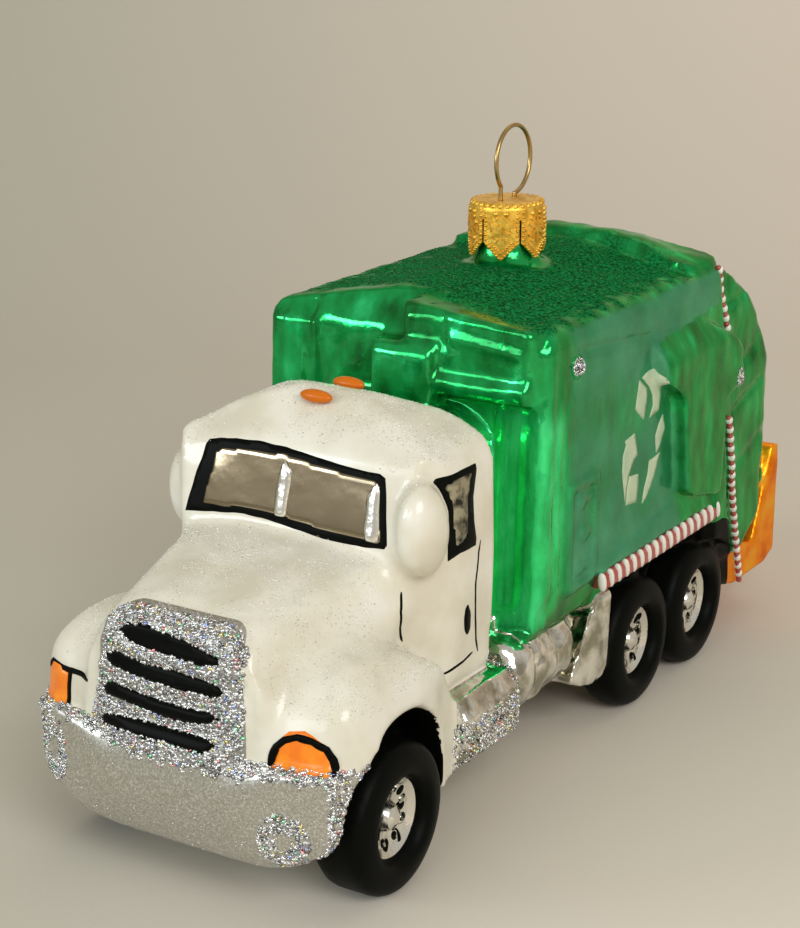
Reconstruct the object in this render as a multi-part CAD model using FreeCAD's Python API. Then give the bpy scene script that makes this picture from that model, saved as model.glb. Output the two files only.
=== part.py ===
"""Blown-glass hanging ornament in the shape of a garbage truck, with its stamped crown cap and wire hanger.

Millimetres. +Z is up, the truck faces -Y and its left side is +X. The origin lies on the floor under the
middle of the object's box. Stations are distances back from the bumper's front.
The glass body is one blown shell on the real object. Here each moulded form is a section of that shell.
"""
import math
import os

import FreeCAD
import Part

Vec = FreeCAD.Vector

# ---------------------------------------------------------------- driving dimensions
glass_wall = 0.9            # thickness of the blown glass
joint_bite = 3.0            # how far a form runs into its neighbour before the neighbour cuts it off

# lengths along the truck
nose_setback = 2.0          # hood front behind the bumper's front
hood_length = 22.5          # hood front to the foot of the windscreen
cab_length = 17.0           # foot of the windscreen to the cab's back
bridge_length = 8.5         # cab's back to the hopper body's front
body_length = 53.4          # hopper body
tail_length = 23.6          # tailgate behind the hopper body
sill_reach = 5.5            # loading sill beyond the tailgate

# heights above the floor
belly_low = 5.0
floor_height = 19.4         # underside of hood, cab and hopper body
hood_front_height = 34.0
hood_back_height = 38.6
screen_foot_height = 38.6
screen_height = 9.0
cab_crown_height = 54.4
cab_edge_drop = 5.4         # cab's side edge below its crown
cab_haunch_drop = 2.0       # cab roof's haunch below its crown
bridge_drop = 5.2           # bridge's top below the cab's crown
body_edge_height = 59.7
body_crown_rise = 3.3       # roof's crown above its side edge
sill_top_height = 26.2
sill_low_height = 7.2
sill_front_height = 16.6
gate_foot_height = 13.4     # lowest point of the tailgate's green side

# half widths
belly_half = 15.0
hood_low_half = 14.4         # hood between the wheel arches
hood_nose_half = 9.8         # hood behind the grille
hood_half = 18.0             # hood at the windscreen
hood_crest_half = 6.5
fender_root_half = 8.0       # where the fender leaves the hood
fender_half = 24.0
cab_half = 20.0
cab_haunch_half = 12.6
cab_crown_half = 4.0
bridge_half = 13.5
body_half = 21.3
body_low_half = 19.6
body_crown_half = 3.0
body_haunch_half = 11.0
tail_half = 20.4
bumper_half = 23.1

# wheels
tyre_radius = 9.4
tyre_width = 7.8
tandem_width = 6.3
tyre_round = 1.9
hub_radius = 4.9
hub_dish = 1.5
hub_nose_radius = 1.4
hub_hole_radius = 0.55
hub_hole_count = 8
arch_radius = 11.2
arch_rise = 2.2             # arch's middle above the axle
arch_fore = 0.3             # and before it
fender_lobe = 6.4           # fender's lobe behind the front tyre
tandem_gap = 0.4            # room round the rear tyre
front_axle_station = 16.3
drive_axle_station = 81.8
tandem_spacing = 19.0

# grille and bumper
grille_half = 9.9
grille_flare = 1.5          # grille's foot beyond its head, each side
grille_proud = 1.6
grille_slots = 4
slot_height = 2.1
slot_pitch = 3.15
slot_depth = 0.5
bumper_height = 14.2
bumper_low = 5.4
bumper_bow = 3.4            # how far the bumper's ends sweep back
bumper_depth = 4.2
bumper_lift = 4.2           # bumper's lower edge rises this much to its ends
bumper_round = 3.2

# cab details
screen_foot_half = 15.0
screen_head_half = 13.2
screen_rake = 2.4           # how far the windscreen's head lies behind its foot
pane_back = 4.9             # door window ahead of the cab's back
pane_length = 6.4
pane_low_height = 37.4
pane_height = 9.6
pod_height = 41.4
pod_station = 26.8
pod_lag = 4.0               # right pod sits this far behind the left one
pod_drop = 1.6              # and this much lower
pod_radius = 2.8
pod_fore_radius = 3.9
pod_length = 5.9
beacon_half = 2.3
beacon_fore_half = 0.95
beacon_height = 0.42

# hopper body details
body_lean = 2.4             # how far the front leans back towards the roof
post_proud = 0.7
post_width = 6.6
block_proud = 2.4           # upper block on the front
block_left = 19.9
block_right = 0.4
box_proud = 4.2             # lower box on the front
box_width = 9.2
box_offset = 1.0
ledge_proud = 3.1
ledge_width = 13.6
ledge_height = 3.2
crease_depth = 0.45
shoulder_proud = 2.3
stile_proud = 1.3
knob_radius = 3.2
rail_length = 38.5
rail_height = 2.6
rail_proud = 1.3
rail_station = 67.3
skirt_rise = 5.0            # flare above the rub rail
locker_station = 57.6
locker_length = 8.6
locker_height = 15.0
locker_proud = 0.55
locker_rim = 0.8
lever_radius = 0.8
lever_count = 3
rivet_radius = 1.15
rivet_proud = 0.6

# tail details
rake_high = 6.2             # the cord's knee lies this far behind its top
rake_low = 7.7              # and its foot this far behind its knee
knee_height = 34.2
cord_top_height = 58.8
cord_foot_height = 7.6
cord_radius = 0.8
cord_waist = 0.58
cord_pitch = 1.9
cord_lean = 1.2             # the upper cord leans in this much with the body's edge
cord_fore = 1.8             # the lower cord lies this much before the seam
cord_gap_high = 49.6        # the shoulder hides the cord between these heights
cord_gap_low = 35.6
roll_length = 10.0
roll_rise = 1.2             # roof roll above the crown
roll_half = 20.0

# mudflap and step tank
flap_length = 9.5
flap_drop = 12.4            # flap's foot below the floor
flap_reach = 6.0            # beyond the belly's side
flap_gap = 0.4
tank_length = 13.6
tank_height = 9.6
tank_reach = 7.4

# air tanks under the bridge
air_rib_count = 3
air_rib_radius = 5.2
air_rib_pitch = 5.8
air_axis_half = 15.6

# crown cap, neck and hanger
neck_station = 78.3
neck_radius = 4.2
neck_bore_radius = 3.2
neck_flare = 0.7
neck_height = 8.0
cap_radius = 5.15
cap_skirt = 8.1
cap_sheet = 0.35
cap_shoulder = 1.0
cap_petals = 6
petal_slit = 0.3
petal_slit_length = 5.9
petal_tip_length = 2.9
emboss_height = 0.26
star_radius = 1.7
star_rib = 0.42
dot_radius = 0.34
star_drop = 3.5             # middle of each star below the cap's top
cap_turn = -10.0            # how the cap happens to stand on the neck, degrees
wire_radius = 0.3
hole_clearance = 0.12
leg_spacing = 3.8
loop_radius = 4.7
loop_lean = 1.5             # the loop's middle lies this far behind the neck's axis
leg_straight = 4.2          # straight part of a leg below the cap's top
leg_flare_length = 6.0

# ---------------------------------------------------------------- stations worked out from the lengths
hood_station = nose_setback
cab_station = hood_station + hood_length
cab_back_station = cab_station + cab_length
body_station = cab_back_station + bridge_length
body_back_station = body_station + body_length
tail_back_station = body_back_station + tail_length
sill_back_station = tail_back_station + sill_reach
overall_length = sill_back_station
tandem_stations = (drive_axle_station, drive_axle_station + tandem_spacing)
lobe_station = front_axle_station + tyre_radius + fender_lobe
cab_edge_height = cab_crown_height - cab_edge_drop
screen_head_height = screen_foot_height + screen_height
bridge_height = cab_crown_height - bridge_drop
body_crown_height = body_edge_height + body_crown_rise
body_half_low_height = floor_height + 6.5
knee_station = body_back_station + rake_high
foot_station = knee_station + rake_low
far = 3 * overall_length    # a cutting prism's reach, past everything


def y_at(station):
    """Y of a station."""
    return station - overall_length / 2


# ---------------------------------------------------------------- profiles
def offset_outline(points, inset):
    """The corners (u, v, radius) of an anticlockwise outline moved inwards by inset."""
    moved = []
    count = len(points)
    for i in range(count):
        (u0, v0, _), (u1, v1, radius), (u2, v2, _) = points[i - 1], points[i], points[(i + 1) % count]
        a, b = math.hypot(u1 - u0, v1 - v0), math.hypot(u2 - u1, v2 - v1)
        n0 = (-(v1 - v0) / a, (u1 - u0) / a)
        n1 = (-(v2 - v1) / b, (u2 - u1) / b)
        turn = 1 + n0[0] * n1[0] + n0[1] * n1[1]
        convex = (u1 - u0) * (v2 - v1) - (v1 - v0) * (u2 - u1) > 0
        shift = inset / turn
        corner = max(radius - inset, 0.2) if convex else radius + inset
        moved.append((u1 + shift * (n0[0] + n1[0]), v1 + shift * (n0[1] + n1[1]), corner))
    return moved


def outline_wire(points, place):
    """A closed wire of lines and tangent arcs through corners (u, v, radius); place maps (u, v) to a vector."""
    count = len(points)
    starts, ends, mids = [], [], []
    for i in range(count):
        (u0, v0, _), (u1, v1, radius), (u2, v2, _) = points[i - 1], points[i], points[(i + 1) % count]
        a, b = math.hypot(u0 - u1, v0 - v1), math.hypot(u2 - u1, v2 - v1)
        to_last = ((u0 - u1) / a, (v0 - v1) / a)
        to_next = ((u2 - u1) / b, (v2 - v1) / b)
        cosine = max(-1.0, min(1.0, to_last[0] * to_next[0] + to_last[1] * to_next[1]))
        half = math.acos(cosine) / 2
        if radius <= 0 or half > math.pi / 2 - 0.01:
            starts.append((u1, v1))
            ends.append((u1, v1))
            mids.append(None)
            continue
        reach = min(radius / math.tan(half), 0.46 * a, 0.46 * b)
        real = reach * math.tan(half)
        bis = (to_last[0] + to_next[0], to_last[1] + to_next[1])
        size = math.hypot(*bis)
        near = real / math.sin(half) - real
        starts.append((u1 + reach * to_last[0], v1 + reach * to_last[1]))
        ends.append((u1 + reach * to_next[0], v1 + reach * to_next[1]))
        mids.append((u1 + near * bis[0] / size, v1 + near * bis[1] / size))
    edges = []
    for i in range(count):
        if mids[i]:
            arc = Part.Arc(place(*starts[i]), place(*mids[i]), place(*ends[i]))
            edges.append(arc.toShape())
        edges.append(Part.makeLine(place(*ends[i]), place(*starts[(i + 1) % count])))
    return Part.Wire(edges)


def side_prism(points, half_width, middle=0.0):
    """A side view, corners (station, height, radius), extruded across the truck."""
    wire = outline_wire(points, lambda s, z: Vec(middle - half_width, y_at(s), z))
    return Part.Face(wire).extrude(Vec(2 * half_width, 0, 0))


def front_prism(points, station_0, station_1):
    """A front view, corners (x, height, radius), extruded along the truck."""
    wire = outline_wire(points, lambda x, z: Vec(x, y_at(station_0), z))
    return Part.Face(wire).extrude(Vec(0, station_1 - station_0, 0))


def plan_prism(points, low, high):
    """A plan, corners (x, station, radius), extruded upwards."""
    wire = outline_wire(points, lambda x, s: Vec(x, y_at(s), low))
    return Part.Face(wire).extrude(Vec(0, 0, high - low))


def carve(side, front, plan, inset=0.0):
    """The form that three outlines leave, as a pattern maker carves it; inset gives its hollow."""
    if inset:
        side, front, plan = (offset_outline(view, inset) for view in (side, front, plan))
    form = side_prism(side, far / 2)
    form = form.common(front_prism(front, -far, far))
    return form.common(plan_prism(plan, -far, far))


def mirrored(points):
    """A right half outline, corners (x, v, radius) from low to high, completed on the left."""
    return list(points) + [(-x, v, radius) for x, v, radius in reversed(points)]


def flip(shape):
    """The same piece on the truck's other side."""
    return shape.mirror(Vec(0, 0, 0), Vec(1, 0, 0))


def box(x0, x1, station_0, station_1, low, high):
    return Part.makeBox(x1 - x0, station_1 - station_0, high - low, Vec(x0, y_at(station_0), low))


def axle_rod(radius, x0, x1, station, height):
    """A cylinder across the truck."""
    return Part.makeCylinder(radius, x1 - x0, Vec(x0, y_at(station), height), Vec(1, 0, 0))


def main_solid(shape):
    """The largest solid of a cut."""
    return max(shape.Solids, key=lambda solid: solid.Volume)


nodes = {}


def keep(name, shape):
    nodes[name] = shape


def keep_pair(name, shape):
    """One piece on each side of the truck."""
    nodes[name + "_left"] = shape
    nodes[name + "_right"] = flip(shape)


# ---------------------------------------------------------------- the big forms of the shell
def cab_views():
    back = cab_back_station
    head = cab_station + screen_rake
    side = [(cab_station - 0.4, floor_height - 9, 0), (back, floor_height - 9, 0),
            (back, cab_edge_height + 2.6, 2.5), (back - 5, cab_crown_height, 8),
            (head + 6.5, cab_crown_height, 11), (head + 0.2, screen_head_height + 1.4, 4),
            (cab_station, screen_foot_height - 0.5, 2)]
    front = mirrored([(cab_half - 0.8, floor_height, 1.5), (cab_half, screen_foot_height - 3, 12),
                      (cab_half - 0.5, cab_edge_height, 4.5), (cab_haunch_half, cab_crown_height - cab_haunch_drop, 10),
                      (cab_crown_half, cab_crown_height + 0.1, 8)])
    plan = mirrored([(screen_foot_half * 0.4, cab_station - 1.0, 25), (screen_foot_half + 0.9, cab_station - 0.5, 4),
                     (cab_half - 0.9, cab_station + 6.4, 6), (cab_half + 0.3, cab_station + 11, 14),
                     (cab_half + 0.3, back + 0.4, 2)])
    return side, front, plan


def hood_form(inset=0.0):
    """Hood lofted from the grille to the windscreen's foot, flaring as it goes; inset gives its hollow."""
    low, back = belly_low + 6, cab_station + joint_bite
    nose = mirrored([(hood_low_half - 0.2, low, 0), (hood_low_half - 0.6, floor_height + 3, 2),
                     (hood_low_half - 1.6, hood_front_height - 7, 3), (hood_nose_half, hood_front_height - 1.0, 3),
                     (0.5 * hood_nose_half, hood_front_height + 0.2, 6)])
    foot = mirrored([(hood_low_half - 0.2, low, 0), (hood_low_half, hood_front_height - 7.4, 2),
                     (hood_half, hood_front_height - 2.8, 3), (hood_half - 2.6, hood_back_height - 0.8, 3),
                     (hood_crest_half, hood_back_height + 0.3, 6)])
    ends = []
    for outline, station in ((nose, hood_station), (foot, back)):
        if inset:
            outline = offset_outline(outline, inset)
        ends.append(outline_wire(outline, lambda x, z: Vec(x, y_at(station), z)))
    side = [(hood_station, low, 0), (back, low, 0), (back, hood_back_height + 0.6, 0),
            (hood_station + 6, hood_front_height + 1.6, 10), (hood_station - 0.1, hood_front_height - 2.4, 4)]
    plan = mirrored([(hood_low_half - 0.4, hood_station - 0.3, 3.5), (hood_half + 1, hood_station + 12, 0),
                     (hood_half + 1, back + 0.3, 0)])
    if inset:
        side, plan = offset_outline(side, inset), offset_outline(plan, inset)
    form = Part.makeLoft(ends, True, True)
    return form.common(side_prism(side, far / 2)).common(plan_prism(plan, -far, far))


def cord_station(height):
    """Station of the body's sloping back edge, which the candy cord follows."""
    if height > knee_height:
        slope = (body_back_station - knee_station) / (cord_top_height - knee_height)
    else:
        slope = (foot_station - knee_station) / (cord_foot_height - knee_height)
    return knee_station + slope * (height - knee_height)


def body_views():
    low, high = floor_height - 9, body_crown_height + 0.4
    lean = body_station + body_lean
    side = [(body_station, low, 0), (cord_station(low), low, 0), (knee_station, knee_height, 8),
            (cord_station(high), high, 0), (lean + 3.4, high, 4), (lean, body_edge_height - 1.5, 3)]
    front = mirrored([(body_low_half, floor_height, 1.2), (body_half, body_half_low_height, 6),
                      (body_half + 0.1, body_edge_height, 2.4), (body_haunch_half, body_crown_height - 1.5, 14),
                      (body_crown_half, body_crown_height, 8)])
    plan = mirrored([(body_half + 0.2, body_station - 0.1, 2.4), (body_half + 0.2, foot_station, 0)])
    return side, front, plan


def tail_views():
    inside = body_back_station - joint_bite
    back = tail_back_station
    edge = body_edge_height
    side = [(inside, gate_foot_height, 0), (foot_station - 0.3, gate_foot_height, 1.2),
            (back - 4.1, gate_foot_height + 3.3, 2), (back - 0.7, gate_foot_height + 8.1, 2),
            (back + 2.0, sill_top_height + 0.2, 1.2), (back - 0.2, sill_top_height + 3.8, 1.5),
            (back - 0.8, sill_top_height + 7.4, 4), (back - 2.8, edge - 18, 5), (back - 5.6, edge - 12.8, 5),
            (back - 10.2, edge - 7.4, 6), (back - 16.2, edge - 2.6, 6), (back - 22.0, edge + 0.6, 3),
            (inside, edge + 1.0, 0)]
    front = mirrored([(tail_half, -1, 0), (tail_half, edge - 9, 8),
                      (tail_half - 0.9, edge + 0.3, 3), (body_haunch_half, edge + 1.4, 10)])
    plan = mirrored([(tail_half + 0.3, inside - 0.1, 0), (tail_half + 0.3, back - 5, 5),
                     (tail_half - 2.6, back + 2.3, 5)])
    return side, front, plan


def belly_views():
    front_station = hood_station + 3.5
    back = body_back_station + 4
    side = [(front_station, belly_low + 4, 3), (front_station + 5, belly_low, 4), (back - 3, belly_low + 1, 3),
            (back, floor_height - 3, 3), (back, floor_height + joint_bite, 0),
            (front_station, floor_height + joint_bite, 0)]
    front = mirrored([(belly_half - 2.5, belly_low - 0.4, 3), (belly_half, belly_low + 5, 3),
                      (belly_half, floor_height + 2 * joint_bite, 0)])
    plan = mirrored([(belly_half - 2, front_station - 0.3, 3), (belly_half + 0.3, front_station + 5, 3),
                     (belly_half + 0.3, back + 0.3, 2)])
    return side, front, plan


def bridge_views():
    front_station = cab_back_station - joint_bite
    back = body_station + joint_bite
    side = [(front_station, belly_low + 8, 0), (back, belly_low + 8, 0), (back, bridge_height + 0.4, 0),
            (front_station, bridge_height + 0.2, 0)]
    front = mirrored([(bridge_half, floor_height, 1), (bridge_half, bridge_height - 3, 3),
                      (bridge_half - 5, bridge_height, 3)])
    plan = mirrored([(bridge_half + 0.4, front_station - 0.2, 0), (bridge_half + 0.4, back + 0.2, 0)])
    return side, front, plan


def sill_outer():
    """The loading sill and hopper bottom under the tailgate."""
    back = sill_back_station
    low = sill_low_height
    side = [(body_back_station + 3.1, low + 2.3, 1), (foot_station - 0.4, low, 1.5), (back - 4.3, low + 0.1, 2),
            (back, low + 1.6, 1.6), (back - 0.8, sill_top_height - 3.8, 1), (back, sill_top_height - 0.3, 0.8),
            (back - 3.1, sill_top_height + 0.3, 0.6), (back - 9.5, low + 5, 0),
            (foot_station - 5, sill_front_height - 1.4, 1), (body_back_station + 2.3, sill_front_height, 1)]
    front = mirrored([(tail_half - 0.7, low - 2, 0), (tail_half - 0.5, sill_top_height + 2, 0)])
    plan = mirrored([(tail_half - 0.3, body_back_station, 0), (tail_half - 0.3, tail_back_station, 4),
                     (tail_half - 0.7, back + 0.2, 1.8)])
    return carve(side, front, plan)


def passage(half_width, station_0, station_1, low, high):
    return box(-half_width, half_width, station_0, station_1, low, high)


def neck_rod(radius):
    """A rod on the neck's axis, from inside the body to past the hanger."""
    low = body_crown_height - 6
    return Part.makeCylinder(radius, far / 4, Vec(0, y_at(neck_station), low))


big = {name: carve(*views()) for name, views in
       (("cab", cab_views), ("hopper_body", body_views), ("tailgate", tail_views),
        ("bridge", bridge_views), ("belly", belly_views))}
big["hood"] = hood_form()
hollow = {name: carve(*views(), inset=glass_wall) for name, views in
          (("cab", cab_views), ("hopper_body", body_views), ("tailgate", tail_views),
           ("bridge", bridge_views), ("belly", belly_views))}
hollow["hood"] = hood_form(glass_wall)
passages = [
    passage(hood_low_half - 3, cab_station - 2, cab_station + 5, floor_height + 2, hood_front_height),
    passage(bridge_half - 2, cab_back_station - 4, body_station + 4, floor_height + 2, bridge_height - 4),
    passage(tail_half - 3, body_back_station - 5, knee_station + 1, knee_height - 10, knee_height + 16),
    passage(belly_half - 2, hood_station + 9, body_back_station - 2, belly_low + 4, floor_height + 4),
]


def shell_section(name, *earlier):
    """One form of the shell, cut back to what shows outside the earlier ones and hollowed."""
    shape = big[name]
    if earlier:
        shape = shape.cut([big[other] for other in earlier])
    return main_solid(shape.cut([hollow[name]] + passages))


sections = {
    "cab": shell_section("cab"),
    "hopper_body": shell_section("hopper_body"),
    "tailgate": shell_section("tailgate", "hopper_body"),
    "hood": shell_section("hood", "cab"),
    "bridge": shell_section("bridge", "cab", "hopper_body"),
    "belly": shell_section("belly", "cab", "hopper_body", "tailgate", "hood", "bridge"),
}
hosts = list(big.values())


def seated(shape, *extra):
    """What of a small form stands outside the big ones, so that it meets them face to face."""
    return main_solid(shape.cut(hosts + list(extra)))


# ---------------------------------------------------------------- wheels
def wheel_pieces(station, width):
    """Tyre and hub on the truck's left, standing on the floor against the belly."""
    inner, outer = belly_half, belly_half + width
    rim = hub_radius
    rows = [(inner, rim, 0), (inner, tyre_radius, tyre_round), (outer - 0.7, tyre_radius, tyre_round + 0.6),
            (outer, tyre_radius - 3.1, 1.2), (outer - 0.5, rim + 0.5, 0.4), (outer - 1.4, rim, 0)]
    wire = outline_wire(rows, lambda x, r: Vec(x, y_at(station), tyre_radius + r))
    axis = Vec(0, y_at(station), tyre_radius)
    tyre = Part.Face(wire).revolve(axis, Vec(1, 0, 0), 360)
    face = outer - 1.4
    rows = [(inner, 0), (face, 0), (face, 0.5 * hub_nose_radius), (face - 0.4, hub_nose_radius),
            (face - hub_dish, hub_nose_radius + 0.6), (face - hub_dish * 0.7, rim * 0.8), (face - 0.5, rim),
            (inner, rim)]
    corners = [Vec(x, y_at(station), tyre_radius + r) for x, r in rows]
    hub = Part.Face(Part.makePolygon(corners + corners[:1])).revolve(axis, Vec(1, 0, 0), 360)
    ring = rim * 0.66
    for i in range(hub_hole_count):
        angle = 2 * math.pi * (i + 0.5) / hub_hole_count
        spot = station + ring * math.cos(angle), tyre_radius + ring * math.sin(angle)
        hub = hub.cut(axle_rod(hub_hole_radius, face - hub_dish - 0.3, outer + 1, *spot))
    return tyre, hub


wheel_sets = {"front": wheel_pieces(front_axle_station, tyre_width),
              "drive": wheel_pieces(tandem_stations[0], tandem_width),
              "rear": wheel_pieces(tandem_stations[1], tandem_width)}
for place, (tyre, hub) in wheel_sets.items():
    keep_pair("tyre_" + place, tyre)
    keep_pair("hub_" + place, hub)


# ---------------------------------------------------------------- nose: fenders, bumper, grille, lamps
def arch_rod():
    inner = belly_half - 0.01
    return axle_rod(arch_radius, inner, fender_half + 5, front_axle_station - arch_fore, tyre_radius + arch_rise)


def fender():
    """Left fender: one dome from the headlamp to the lobe that drapes behind the wheel."""
    front_low = floor_height - 4
    root = fender_root_half
    side = [(hood_station + 0.9, front_low, 1), (front_axle_station, front_low - 8, 0),
            (lobe_station - 3.0, floor_height - 10.4, 1.6), (lobe_station + 0.2, floor_height - 9.4, 1.8),
            (lobe_station + 0.6, floor_height - 3.4, 6), (lobe_station - 5.4, hood_front_height - 8.4, 12),
            (front_axle_station + 1, hood_front_height - 3.8, 14), (hood_station + 7, hood_front_height - 4.0, 12),
            (hood_station + 0.9, hood_front_height - 9.4, 8)]
    front = [(root, -1, 0), (fender_half, -1, 0), (fender_half, floor_height + 3, 9),
             (fender_half - 3.8, hood_front_height - 3.6, 9), (root, hood_front_height + 1.4, 0)]
    plan = [(root, hood_station + 1, 0), (hood_low_half, hood_station + 0.9, 6),
            (fender_half - 2.2, hood_station + 2.2, 6), (fender_half + 0.3, front_axle_station - 5, 20),
            (fender_half + 0.1, front_axle_station + 2, 16), (fender_half - 2.9, lobe_station - 5, 10),
            (fender_half - 3.8, lobe_station + 1.5, 4),
            (root, lobe_station + 1.6, 0)]
    return carve(side, front, plan)


def bumper():
    """Fat barrel of a bumper, bowed in plan, its lower edge rising to the ends."""
    top = bumper_low + bumper_height
    back = bumper_bow + bumper_depth
    plan = mirrored([(bumper_half * 0.42, 0, 18), (bumper_half - 0.6, bumper_bow, 5), (bumper_half - 0.2, back, 2),
                     (hood_low_half, back + 3, 0)])
    front = mirrored([(bumper_half * 0.5, bumper_low, 14), (bumper_half - 1.4, bumper_low + bumper_lift, 6),
                      (bumper_half + 0.2, bumper_low + 0.6 * bumper_height, 5), (bumper_half - 0.4, top + 0.2, 2.4)])
    side = [(bumper_round * 0.7, bumper_low, bumper_round), (far, bumper_low, 0), (far, top, 0),
            (0.5, top, bumper_round), (-0.35, bumper_low + 0.5 * bumper_height, 12)]
    return carve(side, front, plan)


def grille():
    """Glittered grille with four slots pressed in."""
    low = floor_height
    high = hood_front_height + 0.4
    front = mirrored([(grille_half + grille_flare, low - 4, 0), (grille_half + 0.6 * grille_flare, low + 4, 8),
                      (grille_half - 0.8, high, 3)])
    face = hood_station - grille_proud
    side = [(face, low - 4, 0), (hood_station + 7, low - 4, 0), (hood_station + 7, high + 0.3, 0),
            (face + 1.5, high, 2.5), (face + 0.1, high - 5, 6)]
    outer = grille_half + grille_flare
    plan = mirrored([(grille_half * 0.5, face - 0.1, 9), (outer + 0.2, face + 1.4, 2),
                     (outer + 0.4, hood_station + 8, 0)])
    return carve(side, front, plan)


def slot_cutters():
    """The four slots, wider at the foot."""
    cutters = []
    for i in range(grille_slots):
        middle = floor_height + 2.7 + slot_pitch * i
        half = grille_half - 1.5 - 0.4 * i
        bar = mirrored([(half - 0.5, middle - slot_height / 2, 0.7), (half, middle + slot_height / 2, 0.8)])
        cutters.append(front_prism(bar, -joint_bite, hood_station - grille_proud + slot_depth + 0.9))
    return cutters


bumper_solid = bumper()
grille_solid = grille()
arch = arch_rod()
arches = [arch, flip(arch)]
fender_solid = fender().cut(arches)
for name in ("hood", "cab"):
    sections[name] = main_solid(sections[name].cut(arches))
tyres_front = [nodes["tyre_front_left"], nodes["tyre_front_right"]]

keep("bumper", seated(bumper_solid, *arches))
keep("grille", seated(grille_solid.cut(slot_cutters()), bumper_solid))
fender_seated = main_solid(fender_solid.cut(hosts + [bumper_solid, grille_solid]))


def lamp_prism():
    """The headlamp's outline on the fender's front."""
    low = bumper_low + bumper_height
    front = [(hood_low_half - 1.0, low - 1, 0), (fender_half - 0.8, low - 1, 0), (fender_half - 1.4, low + 3.4, 2.5),
             (fender_half - 5.2, low + 5.3, 3), (hood_low_half + 1.8, low + 4.9, 2.5)]
    return front_prism(front, 0, hood_station + 5.0)


lamp = lamp_prism()
keep_pair("headlamp", main_solid(fender_seated.common(lamp)))
keep_pair("fender", main_solid(fender_seated.cut(lamp)))


# ---------------------------------------------------------------- cab: panes, mirror pods, beacons
def screen_prism():
    foot, head = screen_foot_height, screen_head_height
    outline = mirrored([(screen_foot_half, foot + 0.3, 0.8), (screen_head_half, head, 0.9)])
    return front_prism(outline, cab_station - 2, cab_station + screen_rake + 2.2)


def door_pane_prism():
    """Left door window, lower at the front where the mirror pod stands."""
    back = cab_back_station - pane_back
    low, high = pane_low_height, pane_low_height + pane_height
    outline = [(back - pane_length, low - 0.2, 0.5), (back, low, 0.5), (back - 0.6, high, 0.5),
               (back - pane_length - 1.6, high - 1.0, 0.6)]
    return side_prism(outline, 4, cab_half)


def mirror_pod(station, height):
    """Mirror moulded as a smooth egg against the screen pillar, on the left."""
    pod = Part.makeSphere(pod_radius)
    stretch = FreeCAD.Matrix()
    stretch.scale(1.0, pod_fore_radius / pod_radius, pod_length / pod_radius)
    pod = pod.transformGeometry(stretch)
    pod.rotate(Vec(0, 0, 0), Vec(1, 0, 0), 6)
    pod.translate(Vec(cab_half - 1.7, y_at(station), height))
    return pod


def beacon(station):
    """Flat almond on the cab's roof."""
    dome = Part.makeSphere(1.0)
    squash = FreeCAD.Matrix()
    squash.scale(beacon_half, beacon_fore_half, 2 * beacon_height)
    dome = dome.transformGeometry(squash)
    dome.translate(Vec(0, y_at(station), cab_crown_height - beacon_height))
    return dome


screen = screen_prism()
pane = door_pane_prism()
keep("windscreen", main_solid(sections["cab"].common(screen)))
keep_pair("door_window", main_solid(sections["cab"].common(pane)))
sections["cab"] = main_solid(sections["cab"].cut([screen, pane, flip(pane)]))
keep("mirror_pod_left", seated(mirror_pod(pod_station, pod_height)))
keep("mirror_pod_right", seated(flip(mirror_pod(pod_station + pod_lag, pod_height - pod_drop))))
for name, station in (("beacon_front", cab_station + 7.2), ("beacon_rear", cab_back_station - 2.6)):
    keep(name, main_solid(beacon(station).cut(big["cab"])))


# ---------------------------------------------------------------- under the cab and body: step tank, air tanks, flap
def step_tank():
    """Box tank with its step, under the door."""
    start = lobe_station - 1.2
    low, out = floor_height - tank_height, belly_half + tank_reach
    front = [(belly_half - 2, low, 2), (out - 0.4, low + 0.4, 1.8), (out, low + 0.66 * tank_height, 1.0),
             (out - 1.8, floor_height - 0.6, 0.8), (belly_half - 2, floor_height - 0.3, 0)]
    plan = [(belly_half - 2, start, 0), (out + 0.1, start, 0), (out + 0.1, start + tank_length, 1.6),
            (belly_half - 2, start + tank_length, 0)]
    return front_prism(front, start, start + tank_length).common(plan_prism(plan, 0, floor_height))


def air_tanks():
    """Three fat ribs of an air tank lying along the belly."""
    start = cab_back_station + 4.8
    height = floor_height - air_rib_radius + 1.0
    rows = [(start, 0, 0)]
    for i in range(air_rib_count):
        near = start + air_rib_pitch * i
        rows += [(near, air_rib_radius, 2.4), (near + air_rib_pitch - 0.8, air_rib_radius, 2.4),
                 (near + air_rib_pitch - 0.4, air_rib_radius - 1.6, 0)]
    rows[-1] = (start + air_rib_pitch * air_rib_count - 0.8, 0, 0)
    wire = outline_wire(rows, lambda s, r: Vec(air_axis_half, y_at(s), height + r))
    return Part.Face(wire).revolve(Vec(air_axis_half, 0, height), Vec(0, 1, 0), 360)


def mudflap():
    """Silvered flap and bracket ahead of the tandem wheels."""
    back = drive_axle_station - tyre_radius - flap_gap
    start = back - flap_length
    low, high = floor_height - flap_drop, floor_height + 1
    inner, outer = belly_half - 1, belly_half + flap_reach
    front = [(inner, low + 0.4, 1), (outer - 0.6, low, 1.6), (outer, high, 0), (inner, high, 0)]
    side = [(start, low + 2, 1), (back - 1.2, low, 1.2), (back, low + 2, 1.2), (back, high, 0),
            (start + 0.6 * flap_length, high, 0)]
    plan = [(inner - 1, start - 1, 0), (outer - 1.6, start - 1, 0), (outer + 0.4, back + 0.3, 0.8),
            (inner - 1, back + 0.3, 0)]
    return carve(side, front, plan)


fender_both = [fender_solid, flip(fender_solid)]
tank_solid = step_tank()
keep_pair("step_tank", main_solid(tank_solid.cut(hosts + fender_both)))
air_solid = air_tanks()
flap_solid = mudflap()
keep_pair("mudflap", seated(flap_solid))
keep_pair("air_tank", main_solid(air_solid.cut(hosts + [flap_solid, tank_solid])))

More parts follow.
